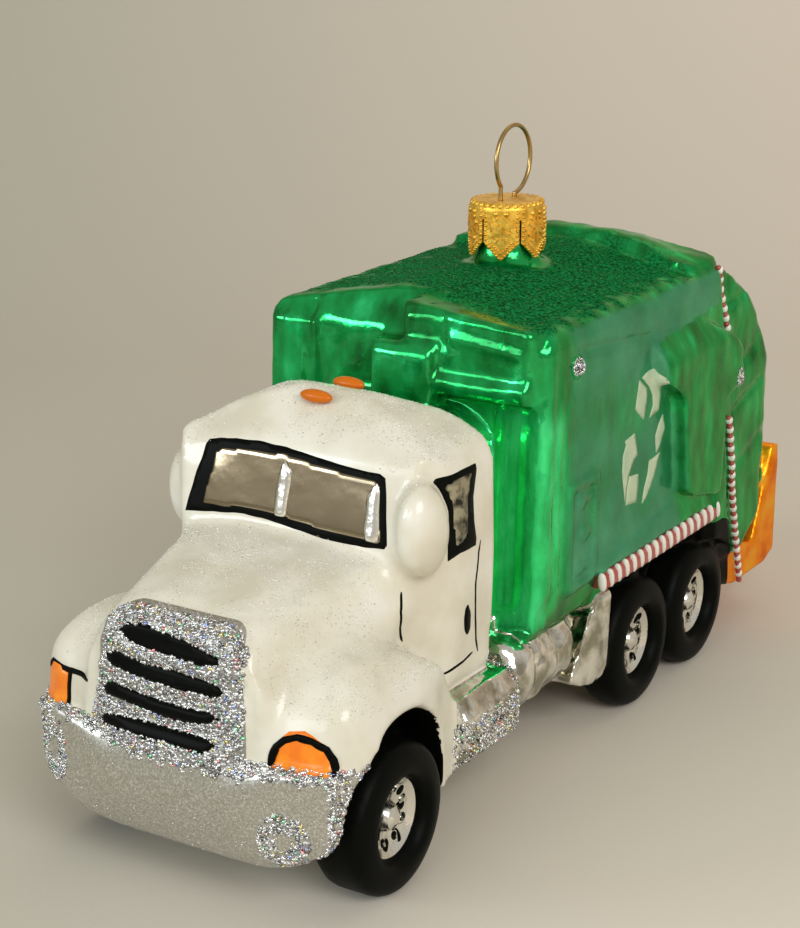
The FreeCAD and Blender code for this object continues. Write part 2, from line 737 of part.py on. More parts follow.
# ---------------------------------------------------------------- neck, cap and hanger
cap_top = body_crown_height + neck_height + cap_sheet


def neck():
    base = body_crown_height - 1.5
    rows = [(neck_bore_radius, base), (neck_radius + neck_flare + 0.4, base),
            (neck_radius + neck_flare, body_crown_height), (neck_radius, body_crown_height + 1.6),
            (neck_radius, body_crown_height + neck_height - 0.3),
            (neck_radius - 0.3, body_crown_height + neck_height), (neck_bore_radius, body_crown_height + neck_height)]
    corners = [Vec(r, y_at(neck_station), z) for r, z in rows]
    face = Part.Face(Part.makePolygon(corners + corners[:1]))
    return face.revolve(Vec(0, y_at(neck_station), 0), Vec(0, 0, 1), 360)


def cap():
    """Crown cap of thin sheet: six petals, each with a pressed star."""
    low = cap_top - cap_skirt
    outer, inner = cap_radius, cap_radius - cap_sheet
    rows = [(0, cap_top - cap_sheet, 0), (inner, cap_top - cap_sheet, cap_shoulder - cap_sheet), (inner, low, 0),
            (outer, low, 0), (outer, cap_top, cap_shoulder), (0, cap_top, 0)]
    wire = outline_wire(rows, lambda r, z: Vec(r, 0, z))
    shell = Part.Face(wire).revolve(Vec(0, 0, 0), Vec(0, 0, 1), 360)
    band = Part.makeCylinder(outer + emboss_height, cap_skirt, Vec(0, 0, low))
    band = band.cut(Part.makeCylinder(outer - cap_sheet / 2, cap_skirt, Vec(0, 0, low)))
    pitch = 360 / cap_petals
    stars = []
    for petal in range(cap_petals):
        for arm in range(3):
            rib = Part.makeBox(outer + 2, star_rib, 2 * star_radius, Vec(0, -star_rib / 2, -star_radius))
            rib.rotate(Vec(0, 0, 0), Vec(1, 0, 0), 60 * arm)
            rib.translate(Vec(0, 0, cap_top - star_drop))
            rib.rotate(Vec(0, 0, 0), Vec(0, 0, 1), pitch * petal)
            stars.append(rib)
            for height in (-star_radius, star_radius):
                dot = Part.makeSphere(dot_radius, Vec(outer, 0, height))
                dot.rotate(Vec(0, 0, 0), Vec(1, 0, 0), 60 * arm + 30)
                dot.rotate(Vec(0, 0, 0), Vec(0, 0, 1), pitch * petal)
                stars.append(dot.translate(Vec(0, 0, cap_top - star_drop)))
    shell = shell.fuse(stars[0].multiFuse(stars[1:]).common(band))
    width = outer * math.tan(math.radians(pitch / 2))
    cuts = []
    for petal in range(cap_petals):
        slit = Part.makeBox(outer + 2, petal_slit, petal_slit_length, Vec(0, -petal_slit / 2, low))
        notch = Part.Face(Part.makePolygon([Vec(0, -width, low - 1), Vec(0, width, low - 1), Vec(0, width, low),
                                            Vec(0, 0, low + petal_tip_length), Vec(0, -width, low),
                                            Vec(0, -width, low - 1)])).extrude(Vec(outer + 2, 0, 0))
        for cutter in (slit, notch):
            cutter.rotate(Vec(0, 0, 0), Vec(0, 0, 1), pitch * (petal + 0.5))
            cuts.append(cutter)
    shell = shell.cut(cuts)
    shell.rotate(Vec(0, 0, 0), Vec(0, 0, 1), cap_turn)
    for side in (-1, 1):
        spot = Vec(0, side * leg_spacing / 2, cap_top - 2)
        shell = shell.cut(Part.makeCylinder(wire_radius + hole_clearance, 4, spot))
    shell.translate(Vec(0, y_at(neck_station), 0))
    return main_solid(shell)


def rod(start, end):
    """A length of wire with round ends."""
    along = end.sub(start)
    body = Part.makeCylinder(wire_radius, along.Length, start, along)
    return [body, Part.makeSphere(wire_radius, start), Part.makeSphere(wire_radius, end)]


def hanger():
    """Spring wire: a leaning loop over the cap and two legs that spread in the neck."""
    axis_y = y_at(neck_station)
    half = leg_spacing / 2
    clear = 0.12
    loop_y = axis_y + loop_lean
    loop_z = cap_top + clear + wire_radius + loop_radius
    drops = {side: math.sqrt(loop_radius ** 2 - (side * half - loop_lean) ** 2) for side in (-1, 1)}
    ends = {side: Vec(0, axis_y + side * half, loop_z - drops[side]) for side in (-1, 1)}
    top = Vec(0, loop_y, loop_z + loop_radius)
    arc = Part.Arc(ends[-1], top, ends[1]).toShape()
    section = Part.Wire(Part.makeCircle(wire_radius, arc.Curve.value(arc.FirstParameter),
                                        arc.tangentAt(arc.FirstParameter)))
    pieces = [Part.Wire(arc).makePipeShell([section], True, True)]
    for side in (-1, 1):
        knee = Vec(0, axis_y + side * half, cap_top - leg_straight)
        foot_y = axis_y + side * (neck_bore_radius - wire_radius - 0.25)
        foot = Vec(0, foot_y, knee.z - leg_flare_length)
        pieces += rod(ends[side], knee) + rod(knee, foot)
    return main_solid(pieces[0].multiFuse(pieces[1:]))


neck_solid = neck()
bore = neck_rod(neck_bore_radius)
sections["hopper_body"] = main_solid(sections["hopper_body"].cut(neck_solid).cut(bore))
keep("neck", neck_solid)
keep("cap", cap())
keep("hanger", hanger())

# ---------------------------------------------------------------- hopper body: front relief
def lean_station(height):
    """Station of the body's leaning front at a height."""
    low = floor_height - 9
    return body_station + body_lean * (height - low) / (body_edge_height - 1.5 - low)


def front_lump(x0, x1, low, high, proud, soft):
    """A rounded block standing out of the body's leaning front."""
    ends = [(lean_station(low) - proud, low), (lean_station(low) + joint_bite, low),
            (lean_station(high) + joint_bite, high), (lean_station(high) - proud, high)]
    side = [(ends[0][0], ends[0][1], soft), (*ends[1], 0), (*ends[2], 0), (ends[3][0], ends[3][1], soft)]
    plan = [(x0, ends[0][0] - 0.1, soft), (x1, ends[0][0] - 0.1, soft), (x1, ends[2][0] + 0.1, 0),
            (x0, ends[2][0] + 0.1, 0)]
    return side_prism(side, far / 2).common(plan_prism(plan, 0, far))


def bulkhead():
    """Upper block, lower box and ledge above the cab's back."""
    top = body_crown_height - 0.5
    edge = body_edge_height
    upper = front_lump(block_right, block_left, bridge_height + 2, top, block_proud, 2.4)
    roof_cut = [(block_right - 1, 0, 0), (block_left + 1, 0, 0), (block_left + 1, edge + 0.6, 0),
                (block_right - 1, top, 0)]
    upper = upper.common(front_prism(roof_cut, -far, far))
    box_left = block_right + box_offset + box_width / 2
    lower = front_lump(box_left - box_width, box_left, bridge_height - 4, edge - 2.3, box_proud, 1.9)
    ledge = front_lump(box_left - 2, box_left + ledge_width, bridge_height + 1.6, bridge_height + 1.6 + ledge_height,
                       ledge_proud, 1.5)
    return upper.fuse(lower).fuse(ledge)


def corner_post():
    """Flat post up each front corner."""
    outer = body_half - 0.7
    return front_lump(outer - post_width, outer, floor_height + 1.5, body_edge_height - 1.6, post_proud, 0.5)


# ---------------------------------------------------------------- hopper body: sides and roof
def side_form(side, proud, chamfer=0.5, front=None):
    """A raised form on the left side, from inside the wall to proud of it."""
    inner, outer = body_half - 0.7, body_half + proud
    shape = side_prism(side, (outer - inner) / 2, (outer + inner) / 2)
    stations = [corner[0] for corner in side]
    first, last = min(stations), max(stations)
    plan = [(inner, first, 0), (body_half, first, 0), (outer, first + chamfer * 2, chamfer),
            (outer, last - chamfer, chamfer), (body_half, last, 0), (inner, last, 0)]
    shape = shape.common(plan_prism(plan, 0, far))
    return shape.common(front_prism(front, -far, far)) if front else shape


def shoulder():
    """Raised rear quarter: the arm's housing, its stile and its knob, moulded in one."""
    rear = knee_station
    top = body_edge_height - 5.7
    side = [(rear - 20.2, knee_height - 4, 1.5), (rear - 16.8, knee_height - 5.6, 1), (rear - 8.4, knee_height - 7.3, 1),
            (rear - 7.6, knee_height + 6.6, 1), (rear - 1.4, knee_height + 8.6, 1.5), (rear - 1.2, top - 7.6, 2.5),
            (rear - 6, top - 3.6, 4), (rear - 13, top - 0.6, 4), (rear - 29, top, 1.2), (rear - 27.4, top - 6.4, 2),
            (rear - 22, top - 9.6, 3)]
    outer = body_half + shoulder_proud
    front = [(body_half - 1, 0, 0), (outer, 0, 0), (outer, top - 4, 4), (body_half - 0.2, top + 0.4, 0),
             (body_half - 1, top + 0.4, 0)]
    housing = side_form(side, shoulder_proud, 1.0, front)
    low = floor_height - 2.6
    side = [(rear - 9.4, low, 0.8), (rear - 1.2, low - 0.6, 0.8), (rear - 3.4, floor_height + 3, 3),
            (rear - 6.9, knee_height + 7.5, 0.6), (rear - 9.4, knee_height + 7.5, 0.6)]
    stile = side_form(side, stile_proud, 0.8)
    knob = Part.makeSphere(knob_radius)
    squash = FreeCAD.Matrix()
    squash.scale(0.7, 1.1, 1.0)
    knob = knob.transformGeometry(squash)
    knob.translate(Vec(body_half, y_at(rear - 2.0), knee_height + 4.2))
    return housing.fuse([stile, knob])


def skirt():
    """Flare of the side above the rub rail."""
    low = floor_height + 5.0
    first, last = rail_station - 1.6, rail_station + rail_length - 1.8
    side = [(first, low, 0.3), (last, low, 0), (last - 0.4, low + 0.45 * skirt_rise, 0.5),
            (last - 11, low + skirt_rise, 3), (first + 18, low + 0.6 * skirt_rise, 3), (first, low + 0.2 * skirt_rise, 0.2)]
    outer = body_half + rail_proud - 0.3
    front = [(body_half - 1, low - 1, 0), (outer, low - 1, 0), (outer, low + 0.3, 0.4),
             (body_half, low + skirt_rise, 2), (body_half - 1, low + skirt_rise + 1, 0)]
    return side_form(side, rail_proud, 0.4, front)


def rub_rail():
    low = floor_height + 2.6
    outer = body_half + rail_proud
    front = [(body_half - 1, low, 0), (outer, low, 0.9), (outer, low + rail_height, 0.9),
             (body_half - 1, low + rail_height, 0)]
    plan = [(body_half - 1, rail_station, 0), (outer, rail_station, 0.9), (outer, rail_station + rail_length, 0.9),
            (body_half - 1, rail_station + rail_length, 0)]
    return front_prism(front, -far, far).common(plan_prism(plan, 0, far))


def locker():
    """Raised frame round the control levers."""
    first, last = locker_station, locker_station + locker_length
    low = floor_height + 4.6
    high = low + locker_height
    frame = side_form([(first, low, 1), (last - 1, low, 1), (last, high, 1), (first, high, 1)], locker_proud, 0.2)
    rim = locker_rim
    well = side_prism([(first + rim, low + rim, 0.8), (last - 1 - rim, low + rim, 0.8),
                       (last - rim, high - rim, 0.8), (first + rim, high - rim, 0.8)], far)
    levers = []
    for i in range(lever_count):
        spot = (first + locker_length * (0.42 + 0.1 * (i % 2)), low + locker_height * (i + 0.6) / (lever_count + 0.2))
        lever = axle_rod(lever_radius, body_half - 0.5, body_half + locker_proud, *spot)
        arm = box(body_half - 0.5, body_half + 0.6 * locker_proud, spot[0] - 0.4, last - 0.3, spot[1] - 0.4, spot[1] + 0.4)
        levers += [lever, arm]
    return frame.cut(well).fuse(levers)


def rivet():
    dome = Part.makeSphere(rivet_radius)
    squash = FreeCAD.Matrix()
    squash.scale(2 * rivet_proud / rivet_radius, 1.0, 1.0)
    dome = dome.transformGeometry(squash)
    dome.translate(Vec(body_half - rivet_proud, y_at(body_station + 9.2), body_edge_height - 5.1))
    return dome


def crease_cutter():
    """Dark crease below the roof's edge band."""
    first = body_station + 11
    last = knee_station - 22
    high = body_edge_height - 3.4
    side = [(first, high - 0.4, 0.3), (last, high - 2.9, 0), (last, high - 2.0, 0), (first, high + 0.4, 0.3)]
    return side_prism(side, 1.0, body_half + 1.1 - crease_depth)


def roof_roll():
    """Transverse roll across the roof's rear end."""
    back = body_back_station + 1.2
    first = back - roll_length
    crown = body_crown_height + roll_rise
    low = body_edge_height - 2
    side = [(first, low, 0), (back, low, 0), (back, body_edge_height + 1.2, 2), (back - 3.6, crown + 0.1, 3.5),
            (first + 3.2, crown + 0.1, 3.5), (first - 0.4, body_edge_height + 1, 2)]
    front = mirrored([(roll_half, low - 1, 0), (roll_half + 0.3, body_edge_height + 1.4, 2),
                      (0.6 * roll_half, body_crown_height + 0.1, 8), (0.3 * roll_half, crown, 6)])
    plan = mirrored([(roll_half - 3, first - 0.5, 5), (roll_half + 0.4, first + 3, 5), (roll_half + 0.4, back + 0.1, 1)])
    return carve(side, front, plan)


bulkhead_solid = bulkhead()
keep("bulkhead", seated(bulkhead_solid))
post = corner_post()
keep("corner_post_left", seated(post, bulkhead_solid))
keep("corner_post_right", seated(flip(post), bulkhead_solid))
rear_rod = axle_rod(tyre_radius + tandem_gap, belly_half, fender_half + 5, tandem_stations[1], tyre_radius)
rear_rods = [rear_rod, flip(rear_rod)]
shoulder_solid = shoulder().cut(rear_rods)
keep_pair("shoulder", seated(shoulder_solid))
rail_solid = rub_rail()
keep_pair("rub_rail", seated(rail_solid, shoulder_solid))
keep_pair("skirt", seated(skirt(), shoulder_solid, rail_solid))
keep_pair("locker", seated(locker()))
keep_pair("rivet", seated(rivet()))
roll_solid = roof_roll()
keep("roof_roll", seated(roll_solid))
crease = crease_cutter()
sections["hopper_body"] = main_solid(sections["hopper_body"].cut([crease, flip(crease)]))


# ---------------------------------------------------------------- tail: candy cords and sill
def cord(high, head_half, low, foot_half, fore=0.0):
    """A beaded cord between two heights and half widths, on the left, this much before the seam."""
    shift = 0.5 * cord_radius - fore
    top = Vec(head_half, y_at(cord_station(high)) + shift, high)
    foot = Vec(foot_half, y_at(cord_station(low)) + shift, low)
    along = foot.sub(top)
    beads = max(2, round(along.Length / cord_pitch))
    pitch = along.Length / beads
    rows = [(0.0, 0.0, 0)]
    for i in range(beads):
        rows += [(pitch * i + 0.1, cord_waist, 0), (pitch * i + 0.3 * pitch, cord_radius, 0.5),
                 (pitch * i + 0.7 * pitch, cord_radius, 0.5), (pitch * (i + 1) - 0.1, cord_waist, 0)]
    rows.append((along.Length, 0.0, 0))
    wire = outline_wire(rows, lambda t, r: Vec(r, 0, t))
    string = Part.Face(wire).revolve(Vec(0, 0, 0), Vec(0, 0, 1), 360)
    string.Placement = FreeCAD.Placement(top, FreeCAD.Rotation(Vec(0, 0, 1), along))
    return string


sill_solid = sill_outer()
sections["tailgate"] = main_solid(sections["tailgate"].cut(rear_rods))
keep("tail_sill", main_solid(sill_solid.cut(hosts + rear_rods)))
cord_half = tail_half + 0.45
upper_cord = cord(cord_top_height, cord_half - cord_lean, cord_gap_high, cord_half)
lower_cord = cord(cord_gap_low, body_half + 0.25, cord_foot_height, cord_half, cord_fore)
keep_pair("cord_upper", main_solid(upper_cord.cut(hosts + [shoulder_solid, roll_solid])))
keep_pair("cord_lower", main_solid(lower_cord.cut(hosts + [shoulder_solid, sill_solid])))

for name, shape in sections.items():
    keep(name, shape)

os.makedirs("parts", exist_ok=True)
for name, shape in sorted(nodes.items()):
    shape.exportStep(os.path.join("parts", name + ".step"))
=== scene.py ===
"""The look of the blown-glass garbage truck ornament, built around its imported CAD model.

Metres, +Z up, front at -Y. The lengths in the tables are millimetres.
"""
import math

import bmesh
import bpy
import numpy as np
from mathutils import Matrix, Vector, noise
from mathutils.bvhtree import BVHTree
from mathutils.geometry import delaunay_2d_cdt


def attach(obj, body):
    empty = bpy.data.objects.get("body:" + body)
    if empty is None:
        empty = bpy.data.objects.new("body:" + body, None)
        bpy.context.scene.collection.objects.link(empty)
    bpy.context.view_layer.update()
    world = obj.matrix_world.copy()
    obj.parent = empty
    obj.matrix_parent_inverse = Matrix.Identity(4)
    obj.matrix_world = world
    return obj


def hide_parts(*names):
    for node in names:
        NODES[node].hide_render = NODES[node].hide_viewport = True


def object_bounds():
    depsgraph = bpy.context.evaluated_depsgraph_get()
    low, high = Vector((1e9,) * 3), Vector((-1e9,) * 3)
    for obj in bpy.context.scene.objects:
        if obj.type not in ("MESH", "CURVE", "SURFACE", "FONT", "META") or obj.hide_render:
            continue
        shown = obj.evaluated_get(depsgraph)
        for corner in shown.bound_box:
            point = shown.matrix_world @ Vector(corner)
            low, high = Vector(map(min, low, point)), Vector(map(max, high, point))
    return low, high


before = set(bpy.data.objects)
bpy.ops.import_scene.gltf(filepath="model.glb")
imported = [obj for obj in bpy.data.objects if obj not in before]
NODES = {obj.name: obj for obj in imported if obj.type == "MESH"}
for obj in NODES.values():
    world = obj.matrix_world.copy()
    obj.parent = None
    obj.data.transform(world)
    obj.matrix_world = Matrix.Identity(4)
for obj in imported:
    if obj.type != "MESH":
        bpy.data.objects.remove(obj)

cad_low, cad_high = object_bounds()
MM = 0.001
LOW_Y = cad_low[1]  # the bumper's front
SEED = 7
rng = np.random.default_rng(SEED)

# where the forms lie: a station is the distance back from the bumper's front
BUMPER_TOP = 20
CAB_BACK = 42.5
AXLE_HEIGHT = 9.4
AXLES = {"front": 16.3, "drive": 81.8, "rear": 100.8}
TYRES_INSIDE = 14.2  # half width where the tyres begin
RIVET_X, RIVET_STATION, RIVET_Z = 21.25, 59.3, 54.6
CAP_TOP, CAP_RADIUS, CAP_STATION, CAP_PETALS, CAP_TURN = 71.35, 5.15, 78.3, 6, -10.0
SIDES = (("left", 1), ("right", -1))


def at(x, station, z):
    """A world point from its millimetres."""
    return np.array((x * MM, LOW_Y + station * MM, z * MM))


def to_mm(points):
    """World points as x, station, z in millimetres."""
    return (points - np.array((0, LOW_Y, 0))) / MM


def inside_cad(points, margin=0.05):
    """Keeps points within the CAD model's box."""
    edge = margin * MM
    return np.clip(points, np.array(cad_low) + (0, edge, 0), np.array(cad_high) - edge)


# ---- mesh helpers
def rows_of(items, key, width, kind=np.int64):
    """A value of many mesh elements, one row each."""
    values = np.empty(len(items) * width, dtype=kind)
    items.foreach_get(key, values)
    return values.reshape(-1, width)


def arrays(mesh):
    """Vertex array and triangle array of a mesh."""
    mesh.calc_loop_triangles()
    return rows_of(mesh.vertices, "co", 3, float), rows_of(mesh.loop_triangles, "vertices", 3)


def joined(names):
    """The surfaces of some CAD nodes as one vertex array and one triangle array."""
    verts, faces, base = [], [], 0
    for name in names:
        co, tri = arrays(NODES[name].data)
        verts.append(co)
        faces.append(tri + base)
        base += len(co)
    return np.concatenate(verts), np.concatenate(faces)


def add_object(name, data):
    obj = bpy.data.objects.new(name, data)
    bpy.context.scene.collection.objects.link(obj)
    return obj


def new_object(name, verts, faces, smooth=True, normals=None):
    mesh = bpy.data.meshes.new(name)
    mesh.from_pydata(np.asarray(verts).tolist(), [], np.asarray(faces).tolist(), shade_flat=False)
    mesh.validate()
    if smooth:
        mesh.shade_smooth()
    if normals is not None:
        mesh.normals_split_custom_set_from_vertices(normals)
    return add_object(name, mesh)


def tree_from(verts, faces):
    return BVHTree.FromPolygons(verts.tolist(), faces.tolist())


def distances(tree, points):
    """Distance from each point to a surface."""
    return np.array([tree.find_nearest(Vector(p))[3] for p in points])


def pair(*names):
    return [name + side for name in names for side in ("_left", "_right")]


def unit(rows):
    """Each row scaled to a length of one."""
    return rows / np.linalg.norm(rows, axis=-1, keepdims=True)


def pts(*tenths):
    """The points of a path or an outline, given in tenths of a millimetre, two numbers to a point."""
    return np.array(tenths).reshape(-1, 2) / 10


FRACTAL = (1.0, 2.0, 2)  # fineness, step between octaves, number of octaves


def blur_noise(points, size):
    """Smooth noise at world points, with features of a size in millimetres."""
    scale = 1 / (size * MM)
    return np.array([noise.fractal(Vector(p) * scale, *FRACTAL) for p in points])


def ramp(value, low, high):
    """0 below low, 1 above high, smooth between."""
    t = np.clip((value - low) / (high - low), 0, 1)
    return t * t * (3 - 2 * t)


def fade(value, low, high):
    """1 below low, 0 above high, smooth between."""
    return 1 - ramp(value, low, high)


def between(value, low, high):
    return (value > low) & (value < high)


# ---- material helpers
def principled(mat):
    return mat.node_tree.nodes["Principled BSDF"]


def link(mat, source, target):
    """Links an output to an input, which may be named on the main shader."""
    if isinstance(target, str):
        target = principled(mat).inputs[target]
    mat.node_tree.links.new(source, target)


def material(name, color, metallic=0.0, rough=0.4, coat=0.0, coat_rough=0.04, spec=0.5, spec_tint=None,
             tone=None, relief=None):
    """A material; tone is a noise's size, detail and colour stops, relief its size, detail and depth."""
    mat = bpy.data.materials.new(name)
    mat.use_nodes = True
    values = {"Base Color": (*color, 1), "Metallic": metallic, "Roughness": rough, "Coat Weight": coat,
              "Coat Roughness": coat_rough, "Specular IOR Level": spec}
    if spec_tint:
        values["Specular Tint"] = (*spec_tint, 1)
    for key, value in values.items():
        principled(mat).inputs[key].default_value = value
    if tone:
        link(mat, color_ramp(mat, noise_out(mat, *tone[:2]), tone[2]), "Base Color")
    if relief:
        size, detail, depth = relief
        node = add_node(mat, "ShaderNodeBump", Strength=1.0, Distance=depth * MM)
        link(mat, noise_out(mat, size, detail), node.inputs["Height"])
        link(mat, node.outputs["Normal"], "Normal")
    return mat


def add_node(mat, kind, **values):
    node = mat.node_tree.nodes.new(kind)
    for key, value in values.items():
        if key in node.inputs:
            node.inputs[key].default_value = value
        else:
            setattr(node, key, value)
    return node


def noise_out(mat, size, detail, upright=None):
    """Noise with features of a size in millimetres; upright is the scale of its height."""
    place = add_node(mat, "ShaderNodeTexCoord").outputs["Object"]
    if upright:
        mapping = add_node(mat, "ShaderNodeMapping", Scale=(1.0, 1.0, upright))
        link(mat, place, mapping.inputs["Vector"])
        place = mapping.outputs["Vector"]
    node = add_node(mat, "ShaderNodeTexNoise", Scale=1 / (size * MM), Detail=detail)
    link(mat, place, node.inputs["Vector"])
    return node.outputs["Fac"]


def color_ramp(mat, source, stops):
    """A colour ramp over (position, colour) stops."""
    node = add_node(mat, "ShaderNodeValToRGB")
    elements = node.color_ramp.elements
    while len(elements) < len(stops):
        elements.new(0.5)
    for element, (position, color) in zip(elements, stops):
        element.position = position
        element.color = (*color, 1)
    link(mat, source, node.inputs["Fac"])
    return node.outputs["Color"]


def attribute(mat, name, output="Fac"):
    return add_node(mat, "ShaderNodeAttribute", attribute_name=name).outputs[output]


def blend(mat, share, first, second):
    """A mix of two colours by a share."""
    node = add_node(mat, "ShaderNodeMix", data_type="RGBA")
    for source, socket in ((share, 0), (first, 6), (second, 7)):
        link(mat, source, node.inputs[socket])
    return node.outputs[2]


def multiply_add(mat, share, factor, base):
    """A share times a factor, plus a base that is a number or an output."""
    node = add_node(mat, "ShaderNodeMath", operation="MULTIPLY_ADD")
    link(mat, share, node.inputs[0])
    node.inputs[1].default_value = factor
    if isinstance(base, float):
        node.inputs[2].default_value = base
    else:
        link(mat, base, node.inputs[2])
    return node.outputs[0]


# ---- materials
CLEAR_ROUGH, PALE_ROUGH, GRIT_ROUGH, GREEN_COAT = 0.15, 0.22, 0.60, 0.45


def green_lacquer():
    """Lacquer over silver: deep and streaked, paler on the flat sides, gritty on the roof, and brightened
    with painted light on the body's front beside the cab.
    """
    mat = material("green_lacquer", (0.01, 0.3, 0.06), 0.68, 0.2, 0.55, 0.03, 0.2, (0.08, 0.55, 0.20),
                   relief=(3.2, 3.0, 0.20))
    streaks = noise_out(mat, 3.4, 4.0, 0.42)
    color = color_ramp(mat, streaks, [(0.28, (0.001, 0.13, 0.02)), (0.47, (0.004, 0.30, 0.06)),
                                      (0.60, (0.008, 0.42, 0.10)), (0.76, (0.03, 0.68, 0.22))])
    layers = {
        "pale": (noise_out(mat, 8, 4.0), [(0.34, (0.050, 0.28, 0.14)), (0.52, (0.075, 0.36, 0.19)),
                                          (0.70, (0.11, 0.45, 0.25))]),
        "grit": (noise_out(mat, 0.42, 3.0), [(0.36, (0.001, 0.04, 0.008)), (0.50, (0.004, 0.19, 0.045)),
                                             (0.70, (0.02, 0.36, 0.11))]),
        # painted light: a brighter green where the cab shades the body's front
        "painted_brightening": (streaks, [(0.30, (0.02, 0.45, 0.10)), (0.55, (0.04, 0.85, 0.25)),
                           (0.72, (0.12, 1.0, 0.42))]),
    }
    for name, (source, stops) in layers.items():
        color = blend(mat, attribute(mat, name), color, color_ramp(mat, source, stops))
    link(mat, color, "Base Color")
    rough = multiply_add(mat, attribute(mat, "pale"), PALE_ROUGH, CLEAR_ROUGH)
    link(mat, multiply_add(mat, attribute(mat, "grit"), GRIT_ROUGH, rough), "Roughness")
    link(mat, multiply_add(mat, attribute(mat, "grit"), -GREEN_COAT, GREEN_COAT), "Coat Weight")
    return mat


def flake_material(name, metallic):
    mat = material(name, (0.8, 0.8, 0.8), metallic=metallic, rough=0.22)
    link(mat, attribute(mat, "flake", "Color"), "Base Color")
    return mat


def silvered(name, color, rough, size, depth, dark=None):
    """Silvered glass, which may be smeared with a darker tone."""
    tone = (size, 4.0, [(0.40, dark), (0.60, color)]) if dark else None
    return material(name, color, 1.0, rough, tone=tone, relief=(size, 2.0, depth))


def enamel(name, color, rough=0.32, coat=0.4, spec=0.5, shade=None, size=2.0):
    tone = (size, 2.0, [(0.38, shade), (0.62, color)]) if shade else None
    return material(name, color, 0.0, rough, coat, 0.1, spec, tone=tone, relief=(1.4, 2.0, 0.02))


MIRROR_MAT = silvered("mirror_silver", (0.92, 0.90, 0.84), 0.11, 3.0, 0.35, (0.40, 0.38, 0.30))
CRUST_MAT = silvered("crust_silver", (0.50, 0.49, 0.46), 0.4, 0.4, 0.10)
BEACON_MAT = enamel("beacon_enamel", (0.60, 0.14, 0.003), 0.32, 0.1, 0.2)
WIRE_MAT = material("brass_wire", (0.46, 0.31, 0.12), metallic=1.0, rough=0.30)

# a finish is a material and its slot in the record
GREEN = (green_lacquer(), "green_lacquer")
WHITE = (material(
    "white_enamel", (0.74, 0.70, 0.58), rough=0.38, coat=0.45, coat_rough=0.10, relief=(1.6, 3.0, 0.05),
    tone=(7, 3.0, [(0.35, (0.66, 0.61, 0.48)), (0.55, (0.74, 0.70, 0.58)), (0.72, (0.79, 0.76, 0.67))]),
), "white_enamel")
ORANGE = (material(
    "orange_glass", (0.9, 0.30, 0.01), 0.6, 0.28, 0.08, spec=0.1, spec_tint=(1.0, 0.45, 0.08),
    tone=(4.5, 3.0, [(0.35, (0.78, 0.17, 0.004)), (0.52, (1.0, 0.32, 0.012)), (0.68, (1.0, 0.48, 0.04))]),
    relief=(3.0, 2.0, 0.12)), "orange_enamel")
SATIN = (material(
    "satin_silver", (0.60, 0.58, 0.53), metallic=0.90, rough=0.27, relief=(3.0, 3.0, 0.10),
    tone=(0.25, 2.0, [(0.36, (0.48, 0.465, 0.41)), (0.55, (0.62, 0.605, 0.56)), (0.70, (0.82, 0.81, 0.78))]),
), "satin_silver")
GOLD = (material(
    "gold_sheet", (0.85, 0.50, 0.06), metallic=0.80, rough=0.40, relief=(0.45, 2.0, 0.05),
    tone=(1.2, 3.0, [(0.35, (0.70, 0.36, 0.03)), (0.6, (0.98, 0.60, 0.09))])), "gold_sheet")
BARE = (silvered("hub_silver", (0.86, 0.84, 0.78), 0.20, 1.5, 0.12), "mirror_silver")
PANE_SILVER = (silvered("pane_silver", (0.31, 0.25, 0.165), 0.14, 2.5, 0.03), "mirror_silver")
DOOR_SILVER = (silvered("door_pane_silver", (0.45, 0.43, 0.32), 0.2, 1.6, 0.06, (0.04, 0.04, 0.035)),
               "mirror_silver")
BLACK = (enamel("black_enamel", (0.0025, 0.003, 0.0022), 0.42, 0.0, 0.05), "black_paint")
AMBER = (enamel("amber_enamel", (0.95, 0.27, 0.008), 0.3, 0.3, 0.4, (0.88, 0.19, 0.005)), "orange_enamel")
MINT = (enamel("mint_enamel", (0.50, 0.60, 0.40), 0.4, 0.2, 0.4, (0.42, 0.54, 0.36), 3.0), "white_enamel")
CANDY_WHITE = (enamel("candy_white", (0.80, 0.77, 0.70)), "white_enamel")
CANDY_RED = (enamel("candy_red", (0.40, 0.06, 0.05)), "red_enamel")
FLAKE = (flake_material("glitter_flake", 0.85), "silver_glitter")
SUGAR = (flake_material("sugar_flake", 0.4), "white_enamel")
GRIT = (SUGAR[0], "green_lacquer")


def wear(obj, mat):
    obj.data.materials.clear()
    obj.data.materials.append(mat)


def dress(obj, finish, body="glass", replaces=()):
    """Gives a piece its material and the body it rides."""
    mat, slot = finish
    wear(obj, mat)
    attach(obj, body)
    if replaces:
        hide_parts(*replaces)
    return obj


# ---- the shell's skin
# each painted region's finish and CAD nodes
REGIONS = {
    "white": (WHITE, ["hood", "cab", "windscreen"]
              + pair("fender", "headlamp", "mirror_pod", "door_window")),
    "green": (GREEN, ["bridge", "hopper_body", "tailgate", "bulkhead", "roof_roll", "neck"]
              + pair("corner_post", "shoulder", "skirt", "locker")),
    "orange": (ORANGE, ["tail_sill"]),
    "silver": ((MIRROR_MAT, "mirror_silver"), ["belly"] + pair("air_tank", "mudflap")),
    "tank": ((MIRROR_MAT, "silver_glitter"), pair("step_tank")),
    "bumper": (SATIN, ["bumper"]),
    "grille": ((CRUST_MAT, "silver_glitter"), ["grille"]),
    "black": (BLACK, pair("tyre_front", "tyre_drive", "tyre_rear")),
}
VOXEL = 0.50
ROUNDS = 10  # smoothing everywhere
FACE_ROUNDS = 36  # the grille's face
WING_ROUNDS = 78  # the fenders' fronts and the bumper's roll
SOFT_ROUNDS = 42  # where the moulding is softest
CAB_ROUNDS = 98  # the cab, the fenders and the bumper
STEP, BACK_STEP, CAB_STEP = 0.5, -0.52, -0.505  # smoothing steps; the negative ones keep the volume
CAB_DROOP = 1.3  # how far the cab's right edge sinks


